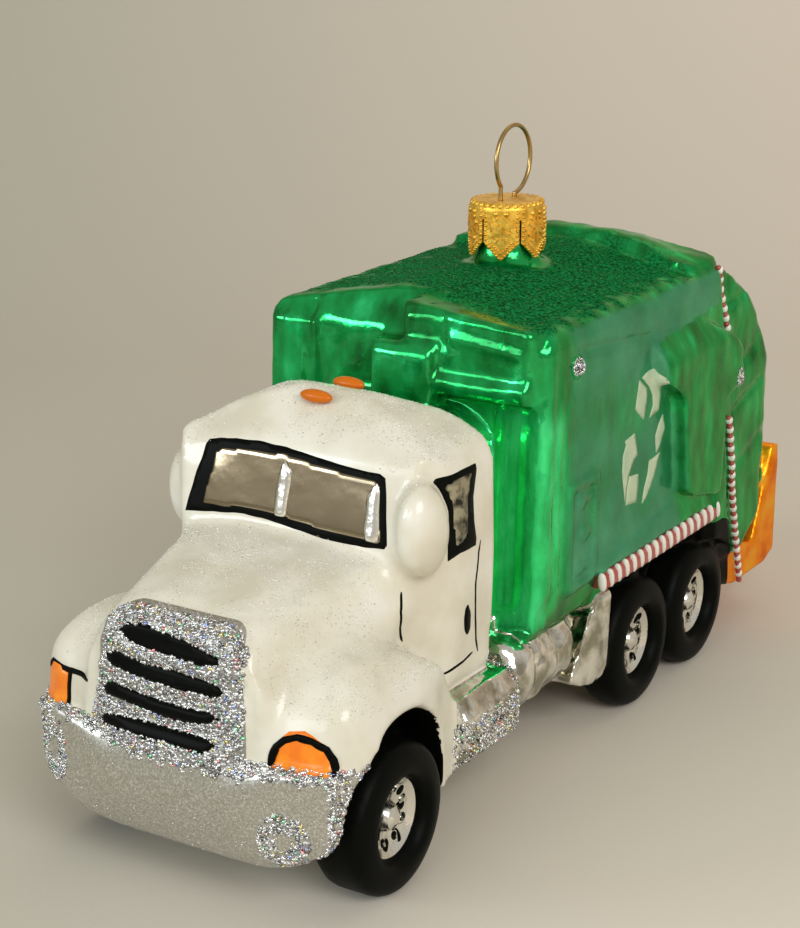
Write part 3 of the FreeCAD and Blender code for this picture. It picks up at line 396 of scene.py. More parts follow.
def soften(co, edges, rounds, weight=None, back=BACK_STEP):
    """Taubin smoothing, or plain smoothing where the back step is the same as the first."""
    count = len(co)
    degree = np.bincount(edges.ravel(), minlength=count).astype(float)[:, None]
    degree[degree == 0] = 1
    for i in range(rounds):
        total = np.zeros_like(co)
        for axis in range(3):
            total[:, axis] = (np.bincount(edges[:, 0], co[edges[:, 1], axis], count)
                              + np.bincount(edges[:, 1], co[edges[:, 0], axis], count))
        step = (STEP if i % 2 == 0 else back) * (total / degree - co)
        co = co + (step if weight is None else step * weight[:, None])
    return co


def softness(points):
    """How far each point takes part in the softer rounds."""
    x, station, z = to_mm(points).T
    wide = np.abs(x)
    bridge = ramp(station, 44, 47) * fade(station, 54, 58) * ramp(z, BUMPER_TOP, 24)
    flank = (0.25 + 0.6 * ramp(wide, 21.6, 22.2) * ramp(z, 27, 29)) * ramp(z, BUMPER_TOP, 23)
    tail = 0.8 * ramp(station, 98, 104) * ramp(z, 18, 22)
    weight = np.where(station < CAB_BACK, 1.0, np.maximum(np.maximum(bridge, flank), tail))
    wheels = (wide > 14.5) & (z < 19.5) & (station > 9)
    tanks = (station > 33) & (z < BUMPER_TOP)
    grille_edge = between(wide, 8, 12.5) & (station < 4.0) & (z > BUMPER_TOP)
    return np.where(wheels | tanks, 0.0, np.where(grille_edge, 0.3, weight))


def polyline_gap(u, v, path):
    """Distance from points to a line of straight runs."""
    gap = np.full(len(u), np.inf)
    for (u0, v0), (u1, v1) in zip(path, path[1:]):
        du, dv = u1 - u0, v1 - v0
        t = np.clip(((u - u0) * du + (v - v0) * dv) / (du * du + dv * dv), 0, 1)
        gap = np.minimum(gap, np.hypot(u - u0 - t * du, v - v0 - t * dv))
    return gap


# lines pressed in the glass: path, depth and half width; a negative depth stands out
PRESSED_SIDE = [
    (pts(602, 563, 660, 557, 730, 551, 815, 540), 0.38, 0.55),
    (pts(543, 550, 540, 240), 0.22, 0.6), (pts(563, 500, 560, 260), 0.20, 0.5),
    (pts(1075, 460, 1130, 430, 1185, 445), 0.40, 0.8), (pts(1100, 360, 1210, 390), 0.40, 0.8),
    (pts(1080, 530, 1140, 540), 0.35, 0.8), (pts(1120, 270, 1240, 310), 0.35, 0.9),
    (pts(1045, 300, 1052, 400), -0.25, 0.6),
]
PRESSED_FRONT = [
    (pts(-152, 600, -150, 490), 0.40, 0.65), (pts(-182, 600, -182, 490), -0.20, 0.6),
    (pts(63, 615, 70, 575), 0.30, 0.6), (pts(176, 520, 174, 250), 0.25, 0.6),
    (pts(152, 510, 150, 240), -0.20, 0.5), (pts(80, 586, 180, 574), -0.30, 0.6),
]


def moulding(points, normals):
    """The uneven surface of blown glass, as shifts along the normals in millimetres."""
    x, station, z = to_mm(points).T
    glass = ramp(station, 41.5, 43.5) * ramp(z, BUMPER_TOP, 22)
    # depth, size of the lumps, their middle value, and where they are
    lumps = [
        (0.18, 6.0, 0.0, glass),
        (0.05, 9.0, 0.0, 1 - glass),
        (0.40, 8.0, 0.0, ramp(station, 104, 109) * ramp(z, 22, 26)),
        (0.50, 4.5, 0.0, ramp(station, 44, 47) * fade(station, 66, 69) * fade(z, 18, 20)),
        (0.55, 7.0, 0.2, ramp(station, 93, 97) * ramp(z, 58, 60)),
    ]
    shift = sum(depth * (blur_noise(points, size) - middle) * share for depth, size, middle, share in lumps)
    side_on = ramp(np.abs(normals[:, 0]), 0.5, 0.8) * (station > 44)
    front_on = ramp(-normals[:, 1], 0.4, 0.7) * (station > 44) * (station < 58)
    for lines, u, facing in ((PRESSED_SIDE, station, side_on), (PRESSED_FRONT, x, front_on)):
        for path, depth, width in lines:
            shift -= depth * facing * np.exp(-(polyline_gap(u, z, path) / width) ** 2)
    return shift


def drop_inner_walls(mesh):
    """Keeps the outer surface, which is the longest of the mesh's islands."""
    bm = bmesh.new()
    bm.from_mesh(mesh)
    left, islands = set(bm.verts), []
    while left:
        stack, island = [left.pop()], []
        while stack:
            vert = stack.pop()
            island.append(vert)
            near = {edge.other_vert(vert) for edge in vert.link_edges} & left
            left -= near
            stack += near
        islands.append(island)
    outer = set(max(islands, key=lambda island: np.ptp([vert.co.y for vert in island])))
    bmesh.ops.delete(bm, geom=[vert for vert in bm.verts if vert not in outer], context="VERTS")
    bm.to_mesh(mesh)
    bm.free()


def vertex_normals(co, tri):
    a, b, c = (co[tri[:, k]] for k in range(3))
    face = np.cross(b - a, c - a)
    total = np.zeros_like(co)
    for k in range(3):
        for axis in range(3):
            total[:, axis] += np.bincount(tri[:, k], face[:, axis], len(co))
    length = np.linalg.norm(total, axis=1, keepdims=True)
    length[length == 0] = 1
    return total / length


def shell_skin():
    """One continuous outer surface over the shell's forms, softened as blown glass is."""
    names = [name for _, nodes in REGIONS.values() for name in nodes]
    obj = new_object("skin", *joined(names), smooth=False)
    remesh = obj.modifiers.new("remesh", "REMESH")
    remesh.mode = "VOXEL"
    remesh.voxel_size = VOXEL * MM
    remesh.adaptivity = 0.0
    mesh = bpy.data.meshes.new_from_object(obj.evaluated_get(bpy.context.evaluated_depsgraph_get()))
    bpy.data.objects.remove(obj)
    drop_inner_walls(mesh)
    edges = rows_of(mesh.edges, "vertices", 2)
    co, tri = arrays(mesh)
    co = soften(co, edges, ROUNDS)
    x, station, z = to_mm(co).T
    face = ((np.abs(x) < 8.8) & between(z, 19.8, 33) & (station < 3.2)).astype(float)
    co = soften(co, edges, FACE_ROUNDS, face, STEP)
    wing = ramp(np.abs(x), 12.5, 14.5) * ramp(z, 20.5, 22.5) * fade(station, 22, 27) * fade(z, 35, 38)
    roll = fade(station, 5, 7) * fade(z, 17.5, 19.0)
    co = soften(co, edges, WING_ROUNDS, np.maximum(wing, 0.8 * roll), STEP)
    co = soften(co, edges, SOFT_ROUNDS, softness(co))
    co = soften(co, edges, CAB_ROUNDS, softness(co) * (to_mm(co)[:, 1] < CAB_BACK), CAB_STEP)
    x, station, z = to_mm(co).T
    droop = ramp(-x, 7, 16) * ramp(z, 44, 49) * fade(station, 41.5, CAB_BACK)
    co = co - droop[:, None] * np.array((0, 0, CAB_DROOP * MM))
    normals = vertex_normals(co, tri)
    return inside_cad(co + normals * (moulding(co, normals) * MM)[:, None]), tri


def cut(data, tri, value):
    """Cuts triangles along value's zero line.

    Returns the data with the new points, the low triangles and the high ones.
    """
    tiny = 1e-7
    value = np.where(np.abs(value) < tiny, tiny, value)
    low = value < 0
    count = low[tri].sum(axis=1)
    lows, highs, pairs, jobs, base = [tri[count == 3]], [tri[count == 0]], [], [], 0
    for number in (1, 2):
        some = tri[count == number]
        lone = low[some] if number == 1 else ~low[some]
        turn = lone.argmax(axis=1)
        rows = np.arange(len(some))
        a, b, c = (some[rows, (turn + k) % 3] for k in range(3))
        pairs += [np.sort(np.stack([a, b], 1), 1), np.sort(np.stack([a, c], 1), 1)]
        jobs.append((number, a, b, c))
    unique, index = np.unique(np.concatenate(pairs), axis=0, return_inverse=True)
    index = index.ravel() + len(data)
    p, q = unique.T
    t = (value[p] / (value[p] - value[q]))[:, None]
    data = np.concatenate([data, data[p] + t * (data[q] - data[p])])
    for number, a, b, c in jobs:
        ab, ac = index[base:base + len(a)], index[base + len(a):base + 2 * len(a)]
        base += 2 * len(a)
        tip = [np.stack([a, ab, ac], 1)]
        rest = [np.stack([ab, b, c], 1), np.stack([ab, c, ac], 1)]
        lows += tip if number == 1 else rest
        highs += rest if number == 1 else tip
    return data, np.concatenate(lows), np.concatenate(highs)


skin_co, skin_tri = shell_skin()
skin_normals = vertex_normals(skin_co, skin_tri)
skin_tree = tree_from(skin_co, skin_tri)

ARCH_STATION, ARCH_Z, ARCH_RADIUS = 16.0, AXLE_HEIGHT + 2.2, 11.35  # the front arches
TANDEM_RADIUS, TANDEM_TOP, TANDEM_FRONT = 13.0, 21.9, 71.8  # the black round the drive and rear wheels
NOWHERE = 9.0  # a field value that claims nothing
GRILLE_LEFT = 10.3  # the grille's paint ends here


def region_fields(points):
    """Each region's field in millimetres; a point belongs to the region whose field is least."""
    fields = {name: distances(tree_from(*joined(nodes)), points) / MM
              for name, (_, nodes) in REGIONS.items()}
    x, station, z = to_mm(points).T
    outside = np.abs(x) > TYRES_INSIDE
    arch = np.hypot(station - ARCH_STATION, z - ARCH_Z) - ARCH_RADIUS
    arch = np.where(outside, arch, NOWHERE)
    least = np.min(list(fields.values()), axis=0)
    black = np.minimum(fields["black"], np.maximum(least + arch, 0) - np.maximum(-arch, 0) * 0.2)
    for axle in ("drive", "rear"):
        ring = np.maximum(np.hypot(station - AXLES[axle], z - AXLE_HEIGHT) - TANDEM_RADIUS, z - TANDEM_TOP)
        ring = np.where(outside & (station > TANDEM_FRONT), ring, NOWHERE)
        black = np.minimum(black, least + ring)
    fields["black"] = black
    fields["grille"] = np.maximum(fields["grille"], least + x - GRILLE_LEFT)
    return fields


# the shoulder's front edge over heights, and the roof grit's front edge over widths
SHOULDER_Z = (28, 30.5, 37.4, 41.7, 45.5, 47.4, 53.1, 54.5)
SHOULDER_STATION = (90.5, 89.5, 88.5, 87.9, 85.9, 82.7, 81.8, 103)
GRIT_X = (-20, -15, -11, -4, 4, 10, 18, 20)
GRIT_STATION = (55, 55.2, 57.0, 56.6, 55.2, 53.4, 51.0, 51.2)


def green_tones(points, normals):
    """How pale and how gritty the green lacquer is at each point, and how much painted light brightens it
    beside the cab.
    """
    x, station, z = to_mm(points).T
    shoulder = station - np.interp(z, SHOULDER_Z, SHOULDER_STATION)
    pale = ramp(np.abs(x), 20.2, 21.0) * ramp(station, 56, 60) * fade(shoulder, -0.6, 0.4)
    pale = pale * (0.80 + 0.6 * blur_noise(points, 10.0))
    fine = blur_noise(points, 2.0)
    grit = ramp(station - np.interp(x, GRIT_X, GRIT_STATION) + 1.6 * fine, -1.2, 2.2)
    grit = grit * ramp(z + 0.8 * fine, 59.3, 60.4) * ramp(normals[:, 2], 0.3, 0.7)
    grit = grit * fade(station + 2.5 * blur_noise(points, 4.0), 93, 99)
    grit = grit * ramp(np.hypot(x, station - CAP_STATION), 5.6, 6.6)
    # painted light: brightens the green on the body's front beside the cab, where the cab casts shade
    painted_brightening = 0.85 * ramp(station, 43, 44) * fade(station, 55.5, 57.5) * fade(z, 46, 51) * ramp(z, 20, 23)
    return np.clip(pale, 0, 1), np.clip(grit, 0, 1), painted_brightening * ramp(x, 8, 12)


MOST_TRIANGLES = 180000  # a region with more is divided
GREEN_SPLIT = 84.0  # station where it is divided
FIRST_FIELD = 6  # the fields' first column, after the place and the normal


def add_region(name, data, tri):
    """One piece of skin, or two where it would hold too many triangles."""
    finish, nodes = REGIONS[name]
    pieces = [("", tri, nodes)]
    if len(tri) > MOST_TRIANGLES:
        ahead = to_mm(data[tri, :3].mean(axis=1))[:, 1] < GREEN_SPLIT
        pieces = [("_front", tri[ahead], nodes), ("_back", tri[~ahead], ())]
    for ending, tri, replaces in pieces:
        used, index = np.unique(tri, return_inverse=True)
        points = data[used]
        obj = new_object("skin_" + name + ending, points[:, :3], index.reshape(-1, 3),
                         normals=unit(points[:, 3:6]))
        if name == "green":
            # the last tone is painted light that brightens the body's front beside the cab
            for tone, values in zip(("pale", "grit", "painted_brightening"), points[:, -3:].T):
                obj.data.attributes.new(tone, "FLOAT", "POINT").data.foreach_set("value", values)
        dress(obj, finish, replaces=replaces)


def lay_regions():
    """Cuts the skin into its painted regions."""
    fields = region_fields(skin_co)
    names = list(REGIONS)
    columns = [fields[name] for name in names] + list(green_tones(skin_co, skin_normals))
    data = np.concatenate([skin_co, skin_normals, np.stack(columns, 1)], 1)
    rest = skin_tri
    for i, name in enumerate(names[:-1]):
        mine = FIRST_FIELD + i
        others = data[:, mine + 1:FIRST_FIELD + len(names)].min(axis=1)
        data, kept, rest = cut(data, rest, data[:, mine] - others)
        add_region(name, data, kept)
    add_region(names[-1], data, rest)


lay_regions()


# ---- paint laid on the skin
FAR = 60  # how far out the rays start, past every form
VIEWS = {
    "front": (lambda u, v: at(u, -FAR, v), Vector((0, 1, 0))),
    "left": (lambda u, v: at(FAR, u, v), Vector((-1, 0, 0))),
    "right": (lambda u, v: at(-FAR, u, v), Vector((1, 0, 0))),
}
WOBBLE_SIZE = 2.2
CORNER_STEPS = 4
EDGE_RISE, EDGE_WIDTH = 0.35, 0.3  # paint starts at this share of its height and is full this far in
PAINT_DEPTH = 0.12  # how deep its underside sits in the surface


def dense(points, step=0.35, closed=True):
    """Points along an outline at even small steps."""
    ends = np.roll(points, -1, axis=0) if closed else points[1:]
    out = []
    for p, q in zip(points, ends):
        count = max(1, int(math.ceil(np.linalg.norm(q - p) / step)))
        out += [p + (q - p) * k / count for k in range(count)]
    if not closed:
        out.append(points[-1])
    return np.array(out)


def noise_at(u, v, layer):
    return noise.noise(Vector((u, v, layer)))


def wobble(points, amount):
    """The hand-painted unevenness of an outline."""
    shift = [[noise_at(u / WOBBLE_SIZE, v / WOBBLE_SIZE, layer) for layer in (3.1, 8.7)] for u, v in points]
    return points + amount * np.array(shift)


def rounded(points, radius):
    """An outline with its corners rounded."""
    out = []
    for before, here, after in zip(np.roll(points, 1, axis=0), points, np.roll(points, -1, axis=0)):
        a, b = before - here, after - here
        reach = min(radius, 0.45 * np.linalg.norm(a), 0.45 * np.linalg.norm(b))
        p, q = here + unit(a) * reach, here + unit(b) * reach
        for k in range(CORNER_STEPS + 1):
            t = k / CORNER_STEPS
            out.append((1 - t) ** 2 * p + 2 * t * (1 - t) * here + t * t * q)
    return np.array(out)


def oval(u, v, half_u, half_v, count=28, turn=0.0):
    angles = np.linspace(0, 2 * math.pi, count, endpoint=False)
    ring = np.stack([half_u * np.cos(angles), half_v * np.sin(angles)], 1)
    c, s = math.cos(turn), math.sin(turn)
    return ring @ np.array([[c, s], [-s, c]]) + (u, v)


def stroke(points, width):
    """The outline of a brush stroke along a path, thinner at its ends."""
    path = dense(points, 0.4, closed=False)
    along = unit(np.gradient(path, axis=0))
    side = np.stack([-along[:, 1], along[:, 0]], 1)
    run = np.linspace(0, 1, len(path))
    half = 0.5 * width * np.clip(np.minimum(run, 1 - run) * 8 + 0.45, 0, 1)
    half = half * (1 + 0.2 * np.array([noise_at(u, v, 1.7) for u, v in path]))
    return np.concatenate([path + side * half[:, None], (path - side * half[:, None])[::-1]])


def within(points, outline):
    """Which points lie inside an outline."""
    inside = np.zeros(len(points), dtype=bool)
    x, y = points.T
    for (x0, y0), (x1, y1) in zip(outline, np.roll(outline, -1, axis=0)):
        crosses = (y0 > y) != (y1 > y)
        if y0 != y1:
            inside ^= crosses & (x < (x1 - x0) * (y - y0) / (y1 - y0) + x0)
    return inside


def nearest(points, u, v):
    """Distance from a place in a view to the nearest of some points."""
    return np.min(np.hypot(points[:, 0] - u, points[:, 1] - v))


def fill(rim, grid):
    """Points and triangles that fill a closed outline."""
    low, high = rim.min(axis=0), rim.max(axis=0)
    u, v = np.meshgrid(np.arange(low[0], high[0], grid), np.arange(low[1], high[1], grid))
    inner = np.stack([u.ravel(), v.ravel()], 1) + grid / 2
    inner = inner[within(inner, rim)]
    inner = inner[[nearest(rim, *p) > 0.55 * grid for p in inner]] if len(inner) else inner
    points = [Vector(p) for p in np.concatenate([rim, inner])]
    order = list(range(len(rim)))
    loop = list(zip(order, order[1:] + order[:1]))
    verts, _, faces, *_ = delaunay_2d_cdt(points, loop, [order], 1, 1e-5)
    return verts, np.array([f for f in faces if len(f) == 3])


def lay(name, outline, view, finish, lift, uneven, grid=0.55, tree=None, swell=None):
    """A shallow layer of paint with a rounded edge, draped on a surface over an outline in a view.

    Lift is the paint's height and uneven how far its edge strays; swell adds height over the width.
    """
    tree = tree or skin_tree
    rim = wobble(dense(outline), uneven)
    verts, faces = fill(rim, grid)
    start, aim = VIEWS[view]
    top, base = [], []
    for p in verts:
        hit, normal, *_ = tree.ray_cast(Vector(start(p.x, p.y)), aim)
        if hit is None:
            hit, normal, *_ = tree.find_nearest(Vector(start(p.x, p.y)) + aim * FAR * MM)
        rise = lift * (EDGE_RISE + (1 - EDGE_RISE) * min(1.0, nearest(rim, p.x, p.y) / EDGE_WIDTH))
        if swell:
            rise += swell(p.x)
        top.append(np.array(hit) + np.array(normal) * rise * MM)
        base.append(np.array(hit) - np.array(normal) * PAINT_DEPTH * MM)
    a, b, c = (np.array(top)[faces[:, k]] for k in range(3))
    away = np.cross(b - a, c - a) @ np.array(aim) > 0
    faces = np.where(away[:, None], faces[:, ::-1], faces)
    count = len(top)
    known = set(map(tuple, np.concatenate([faces[:, [0, 1]], faces[:, [1, 2]], faces[:, [2, 0]]])))
    walls = []
    for a, b in known:
        if (b, a) not in known:
            walls += [(b, a, a + count), (b, a + count, b + count)]
    triangles = np.concatenate([faces, faces[:, ::-1] + count, np.array(walls)])
    return dress(new_object(name, inside_cad(np.array(top + base), 0.0), triangles), finish)


def both(name, outline, finish, lift, uneven):
    """The same paint on the left and the right side."""
    for side, _ in SIDES:
        lay(name + "_" + side, outline, side, finish, lift, uneven)


# windscreen: a black frame, a silvered pane and two raised folds in it, laid in brighter silver as painted
# highlights
SCREEN = pts(
    -133, 471, -129, 477, -111, 481, -87, 484, -48, 486, -14, 485, 42, 479, 87, 475, 125, 474, 133, 470,
    146, 394, 143, 389, 115, 387, 56, 387, 9, 392, -35, 396, -63, 397, -99, 393, -152, 386, -146, 416,
    -141, 438, -136, 455)
PANE = pts(
    -128, 398, -124, 420, -119, 443, -117, 464, -106, 471, -77, 474, -45, 476, -15, 478, 43, 472,
    88, 468, 120, 466, 128, 460, 131, 438, 138, 393, 114, 394, 54, 396, 8, 401, -39, 404, -64, 404,
    -92, 400)
PAINTED_HIGHLIGHT_FOLDS = [
    pts(-9, 470, -16, 456, -20, 437, -19, 418, -18, 403, 0, 403, 0, 421, 1, 440, 0, 458),
    pts(124, 465, 117, 454, 110, 443, 113, 428, 112, 410, 117, 396, 134, 395, 132, 421, 128, 456)]
FOLD_RISE, FOLD_HALF = 0.45, 1.1
lay("windscreen_frame", SCREEN, "front", BLACK, 0.08, 0.08)
lay("windscreen_pane", PANE, "front", PANE_SILVER, 0.13, 0.10, grid=0.4)
# the folds' brighter silver is a painted highlight on top of their raised ridge
for i, fold in enumerate(PAINTED_HIGHLIGHT_FOLDS):
    middle = fold[:, 0].mean()
    lay("windscreen_fold_painted_highlight_%d" % (i + 1), rounded(fold, 0.4), "front", BARE, 0.16, 0.1, grid=0.3,
        swell=lambda u, m=middle: FOLD_RISE * max(0.0, 1 - ((u - m) / FOLD_HALF) ** 2))

# door: window round the mirror pod, the door's painted lines and its handle
DOOR_FRAME = pts(
    290, 468, 295, 471, 335, 473, 369, 473, 370, 466, 361, 433, 362, 402, 366, 379, 364, 371, 332, 370,
    312, 364, 311, 386, 312, 412, 311, 427, 303, 448)
DOOR_PANE = pts(
    301, 463, 334, 467, 359, 466, 350, 432, 348, 406, 346, 387, 322, 376, 319, 397, 318, 425, 312, 446)
DOOR_LINES = {"front": pts(251, 339, 245, 316, 246, 296, 252, 276),
              "rear": pts(376, 374, 371, 360, 367, 320, 371, 277, 376, 243, 382, 226),
              "foot": pts(369, 229, 346, 224, 324, 223, 304, 220)}
HANDLE = pts(343, 281, 345, 295, 351, 299, 359, 284, 360, 263, 353, 256, 346, 265)
both("door_frame", DOOR_FRAME, BLACK, 0.08, 0.08)
both("door_pane", rounded(DOOR_PANE, 0.4), DOOR_SILVER, 0.12, 0.15)
for part, path in DOOR_LINES.items():
    both("door_line_" + part, stroke(path, 0.36), BLACK, 0.06, 0.03)
both("door_handle", rounded(HANDLE, 0.5), BLACK, 0.12, 0.03)

# headlamps: the left one is orange under a black stroke, the right one orange and white with black lines
LAMP = pts(
    137, 196, 138, 210, 141, 224, 147, 233, 153, 239, 171, 242, 182, 238, 196, 230, 205, 216, 211, 196)
LAMP_LINE = pts(135, 198, 137, 210, 141, 221, 149, 229, 163, 234, 182, 232, 198, 225, 205, 213, 210, 196)
RIGHT_LAMP = pts(-170, 238, -171, 198, -219, 198, -216, 226, -206, 243, -188, 244)
RIGHT_LINES = {"top": pts(-216, 230, -204, 242, -171, 240, -148, 242, -128, 242),
               "post": pts(-168, 241, -168, 218, -168, 197)}
lay("headlamp_glass_left", LAMP, "front", AMBER, 0.09, 0.04)
lay("headlamp_line_left", stroke(LAMP_LINE, 0.78), "front", BLACK, 0.42, 0.04)
lay("headlamp_glass_right", rounded(RIGHT_LAMP, 0.6), "front", AMBER, 0.14, 0.04)
for part, path in RIGHT_LINES.items():
    lay("headlamp_line_right_" + part, stroke(path, 0.62), "front", BLACK, 0.24, 0.04)

# grille: four black slots, hand-painted
SLOTS = [
    pts(-69, 321, -59, 328, -37, 332, 15, 326, 70, 316, 73, 309, 42, 305, -3, 307, -52, 311),
    pts(-87, 286, -73, 293, -35, 287, 11, 286, 69, 283, 78, 277, 64, 270, 20, 269, -39, 271, -80, 276),
    pts(-95, 245, -82, 252, -39, 247, 18, 245, 61, 247, 72, 242, 45, 233, 2, 228, -40, 233, -90, 238),
    pts(-102, 205, -89, 212, -37, 214, 16, 214, 57, 213, 66, 209, 51, 199, 18, 197, -34, 198, -96, 198),
]


def swollen(outline, grow_u, grow_v):
    """An outline grown from its middle."""
    middle = outline.mean(axis=0)
    return middle + (outline - middle) * (grow_u, grow_v)


for i, slot in enumerate(SLOTS):
    lay("grille_slot_%d" % (i + 1), rounded(swollen(slot, 1.04, 1.22), 0.5), "front", BLACK, 0.16, 0.12)

# the three-arrow sign on each side, each arrow in two bands
SIGN = [
    pts(772, 489, 798, 471, 800, 461, 791, 428, 764, 449, 765, 459),
    pts(781, 490, 796, 494, 814, 496, 825, 479, 843, 451, 838, 431, 807, 427, 818, 443, 815, 458, 805, 472),
    pts(851, 423, 858, 400, 844, 379, 832, 370, 828, 397, 838, 413),
    pts(844, 370, 836, 350, 822, 329, 807, 311, 796, 306, 800, 328, 809, 345, 813, 365, 827, 366),
    pts(
        736, 412, 766, 416, 771, 401, 777, 382, 766, 379, 760, 373, 751, 360, 745, 343, 741, 324,
        729, 371, 730, 391, 739, 405),
    pts(752, 358, 782, 354, 783, 340, 778, 314, 744, 318, 746, 340),
]
for i, band in enumerate(SIGN):
    both("sign_band_%d" % (i + 1), rounded(band, 0.2), MINT, 0.07, 0.04)

# the dark ring round each front rivet
both("rivet_ring", oval(RIVET_STATION, RIVET_Z, 1.7, 1.7), GREEN, 0.12, 0.1)

# wheels: uneven black spots in place of hand holes
SPOTS, SPOT_REACH, NEAR_SPOT_REACH, SPOT_HALF = 10, 3.5, 2.6, (0.78, 0.58)
for place, station in AXLES.items():
    for side, _ in SIDES:
        hub_tree = tree_from(*joined(["hub_%s_%s" % (place, side)]))
        for k in range(SPOTS):
            angle = 2 * math.pi * (k + 0.3 * rng.random()) / SPOTS
            reach = SPOT_REACH if k % 3 else NEAR_SPOT_REACH
            spot = (station + reach * math.cos(angle), AXLE_HEIGHT + reach * math.sin(angle))
            halves = (0.75 + 0.5 * rng.random()) * np.array(SPOT_HALF)
            lay("hub_spot_%s_%s_%d" % (place, side, k + 1), oval(*spot, *halves, 16, angle), side, BLACK,
                0.10, 0.25, grid=0.35, tree=hub_tree)


# ---- candy stripes
def blobs(name, places, finish, body="glass", replaces=(), square=1.0, segments=8, rings=6):
    """Rounded lumps in one piece; each place is a centre and three half axes as vectors."""
    bm = bmesh.new()
    bmesh.ops.create_uvsphere(bm, u_segments=segments, v_segments=rings, radius=1.0)
    bmesh.ops.triangulate(bm, faces=bm.faces)
    unit = np.array([v.co for v in bm.verts])
    unit = np.sign(unit) * np.abs(unit) ** square
    shape = np.array([[v.index for v in f.verts] for f in bm.faces])
    bm.free()
    verts = [centre + unit @ np.array(axes) for centre, axes in places]
    faces = [shape + len(unit) * k for k in range(len(places))]
    return dress(new_object(name, np.concatenate(verts), np.concatenate(faces)), finish, body, replaces)


FINE = {"segments": 10, "rings": 7}
RAIL_X, RAIL_Z, RAIL_RISE = 22.35, 23.6, 0.012
RAIL_FIRST, RAIL_PITCH, RAIL_BARS = 65.9, 2.28, 17
BAR_AXES = np.array(((0.62, 0, 0), (0, 0.44, 0.08), (0, -0.22, 1.35))) * MM
for side, sign in SIDES:
    bars = [(at(sign * RAIL_X, RAIL_FIRST + RAIL_PITCH * k, RAIL_Z + RAIL_RISE * k), BAR_AXES)
            for k in range(RAIL_BARS)]
    blobs("rail_stripes_" + side, bars, CANDY_WHITE, square=0.8, **FINE)

CORD_RUNS = {
    "cord_upper": [(20.2, 103.3, 59.4), (20.6, 104.6, 55.5), (21.0, 105.6, 52.0), (21.3, 106.2, 49.4)],
    "cord_lower": [(21.5, 107.0, 36.6), (21.5, 108.9, 28.2), (21.2, 111.1, 21.7), (20.8, 115.8, 8.2)]}
TURN_PITCH, CORE_PITCH = 1.55, 0.5
CORD_LEAST = 0.25  # the cord's middle stays this far off the skin
CORD_SMOOTHING = 6
LOOK_AHEAD = 0.3
TURN_SHARES = ((0.50, 0.30, 0), (-0.12, 0.50, 0), (0, 0, 0.62))  # a white turn lies aslant
CORE_SHARES = np.eye(3) * 0.46


def cord_line(path, side):
    """Points along a cord that lies on the skin."""
    points = np.array([at(*p) for p in dense(np.array(path), 0.25, closed=False) * (side, 1, 1)])
    for i, p in enumerate(points):
        hit, normal, *_ = skin_tree.find_nearest(Vector(p))
        if float((Vector(p) - hit).dot(normal)) / MM < CORD_LEAST:
            points[i] = np.array(hit) + np.array(normal) * CORD_LEAST * MM
    for _ in range(CORD_SMOOTHING):
        points[1:-1] = 0.5 * points[1:-1] + 0.25 * (points[:-2] + points[2:])
    return points


def rope(points, side, pitch, shares):
    """Places of lumps along a line; shares of flat, along and up make their half axes."""
    steps = np.concatenate([[0], np.cumsum(np.linalg.norm(np.diff(points, axis=0), axis=1))])
    places = []
    for d in np.arange(0.3 * pitch * MM, steps[-1], pitch * MM):
        spot, ahead = (np.array([np.interp(x, steps, points[:, k]) for k in range(3)])
                       for x in (d, d + LOOK_AHEAD * MM))
        along = unit(ahead - spot)
        flat = unit(np.cross(along, (side, 0, 0)))
        places.append((spot, np.array(shares) @ (flat, along, np.cross(flat, along)) * MM))
    return places


for run, path in CORD_RUNS.items():
    for side, sign in SIDES:
        line = cord_line(path, sign)
        blobs("%s_core_%s" % (run, side), rope(line, sign, CORE_PITCH, CORE_SHARES), CANDY_RED,
              replaces=("%s_%s" % (run, side),))
        blobs("%s_turns_%s" % (run, side), rope(line, sign, TURN_PITCH, TURN_SHARES), CANDY_WHITE,
              square=0.9, **FINE)

# ---- the cap's pressed beads
BEAD_RISE = 0.36
ROW_ARC, ROW_TOP, ROW_PITCH, ROW_BEADS = 2.25, 70.2, 0.62, 7  # upright rows beside each petal
TIP_BEADS = 6
STAR_Z, STAR_ARMS = 67.85, 6
RIM_BEADS, RIM_SIZE = 30, 0.44


def ring_way(angle):
    return np.array((math.cos(angle), math.sin(angle), 0))


def on_cap(arc, z, size, stretch=1.0, turn=0.0):
    """A bead on the cap's wall: distance round it, height, size, stretch and turn."""
    angle = arc / CAP_RADIUS
    out, across = ring_way(angle), ring_way(angle + math.pi / 2)
    up = np.array((0, 0, 1.0))
    c, s = math.cos(turn), math.sin(turn)
    first, second = c * across + s * up, -s * across + c * up
    centre = at(0, CAP_STATION, z) + out * (CAP_RADIUS - 0.10) * MM
    return centre, np.array((first * size * stretch, second * size, out * BEAD_RISE)) * MM


beads = []
for petal in range(CAP_PETALS):
    middle = CAP_RADIUS * math.radians(360 / CAP_PETALS * petal + CAP_TURN)
    for side in (-1, 1):
        beads += [on_cap(middle + side * ROW_ARC, ROW_TOP - ROW_PITCH * k, 0.26) for k in range(ROW_BEADS)]
        for k in range(TIP_BEADS):
            t = (k + 0.5) / TIP_BEADS
            beads.append(on_cap(middle + side * ROW_ARC * (1 - t), 66.0 - 2.2 * t, 0.26))
            beads.append(on_cap(middle + side * 1.55 * (1 - t), 66.2 - 1.6 * t, 0.20))
        beads.append(on_cap(middle + side * 0.75, 70.0, 0.42))
    for arm in range(STAR_ARMS):
        turn = 2 * math.pi * arm / STAR_ARMS + math.pi / STAR_ARMS
        for reach, size in ((0.8, 0.20), (1.35, 0.26)):
            arc, z = middle + reach * math.cos(turn), STAR_Z + reach * math.sin(turn)
            beads.append(on_cap(arc, z, size, 1.5, turn))
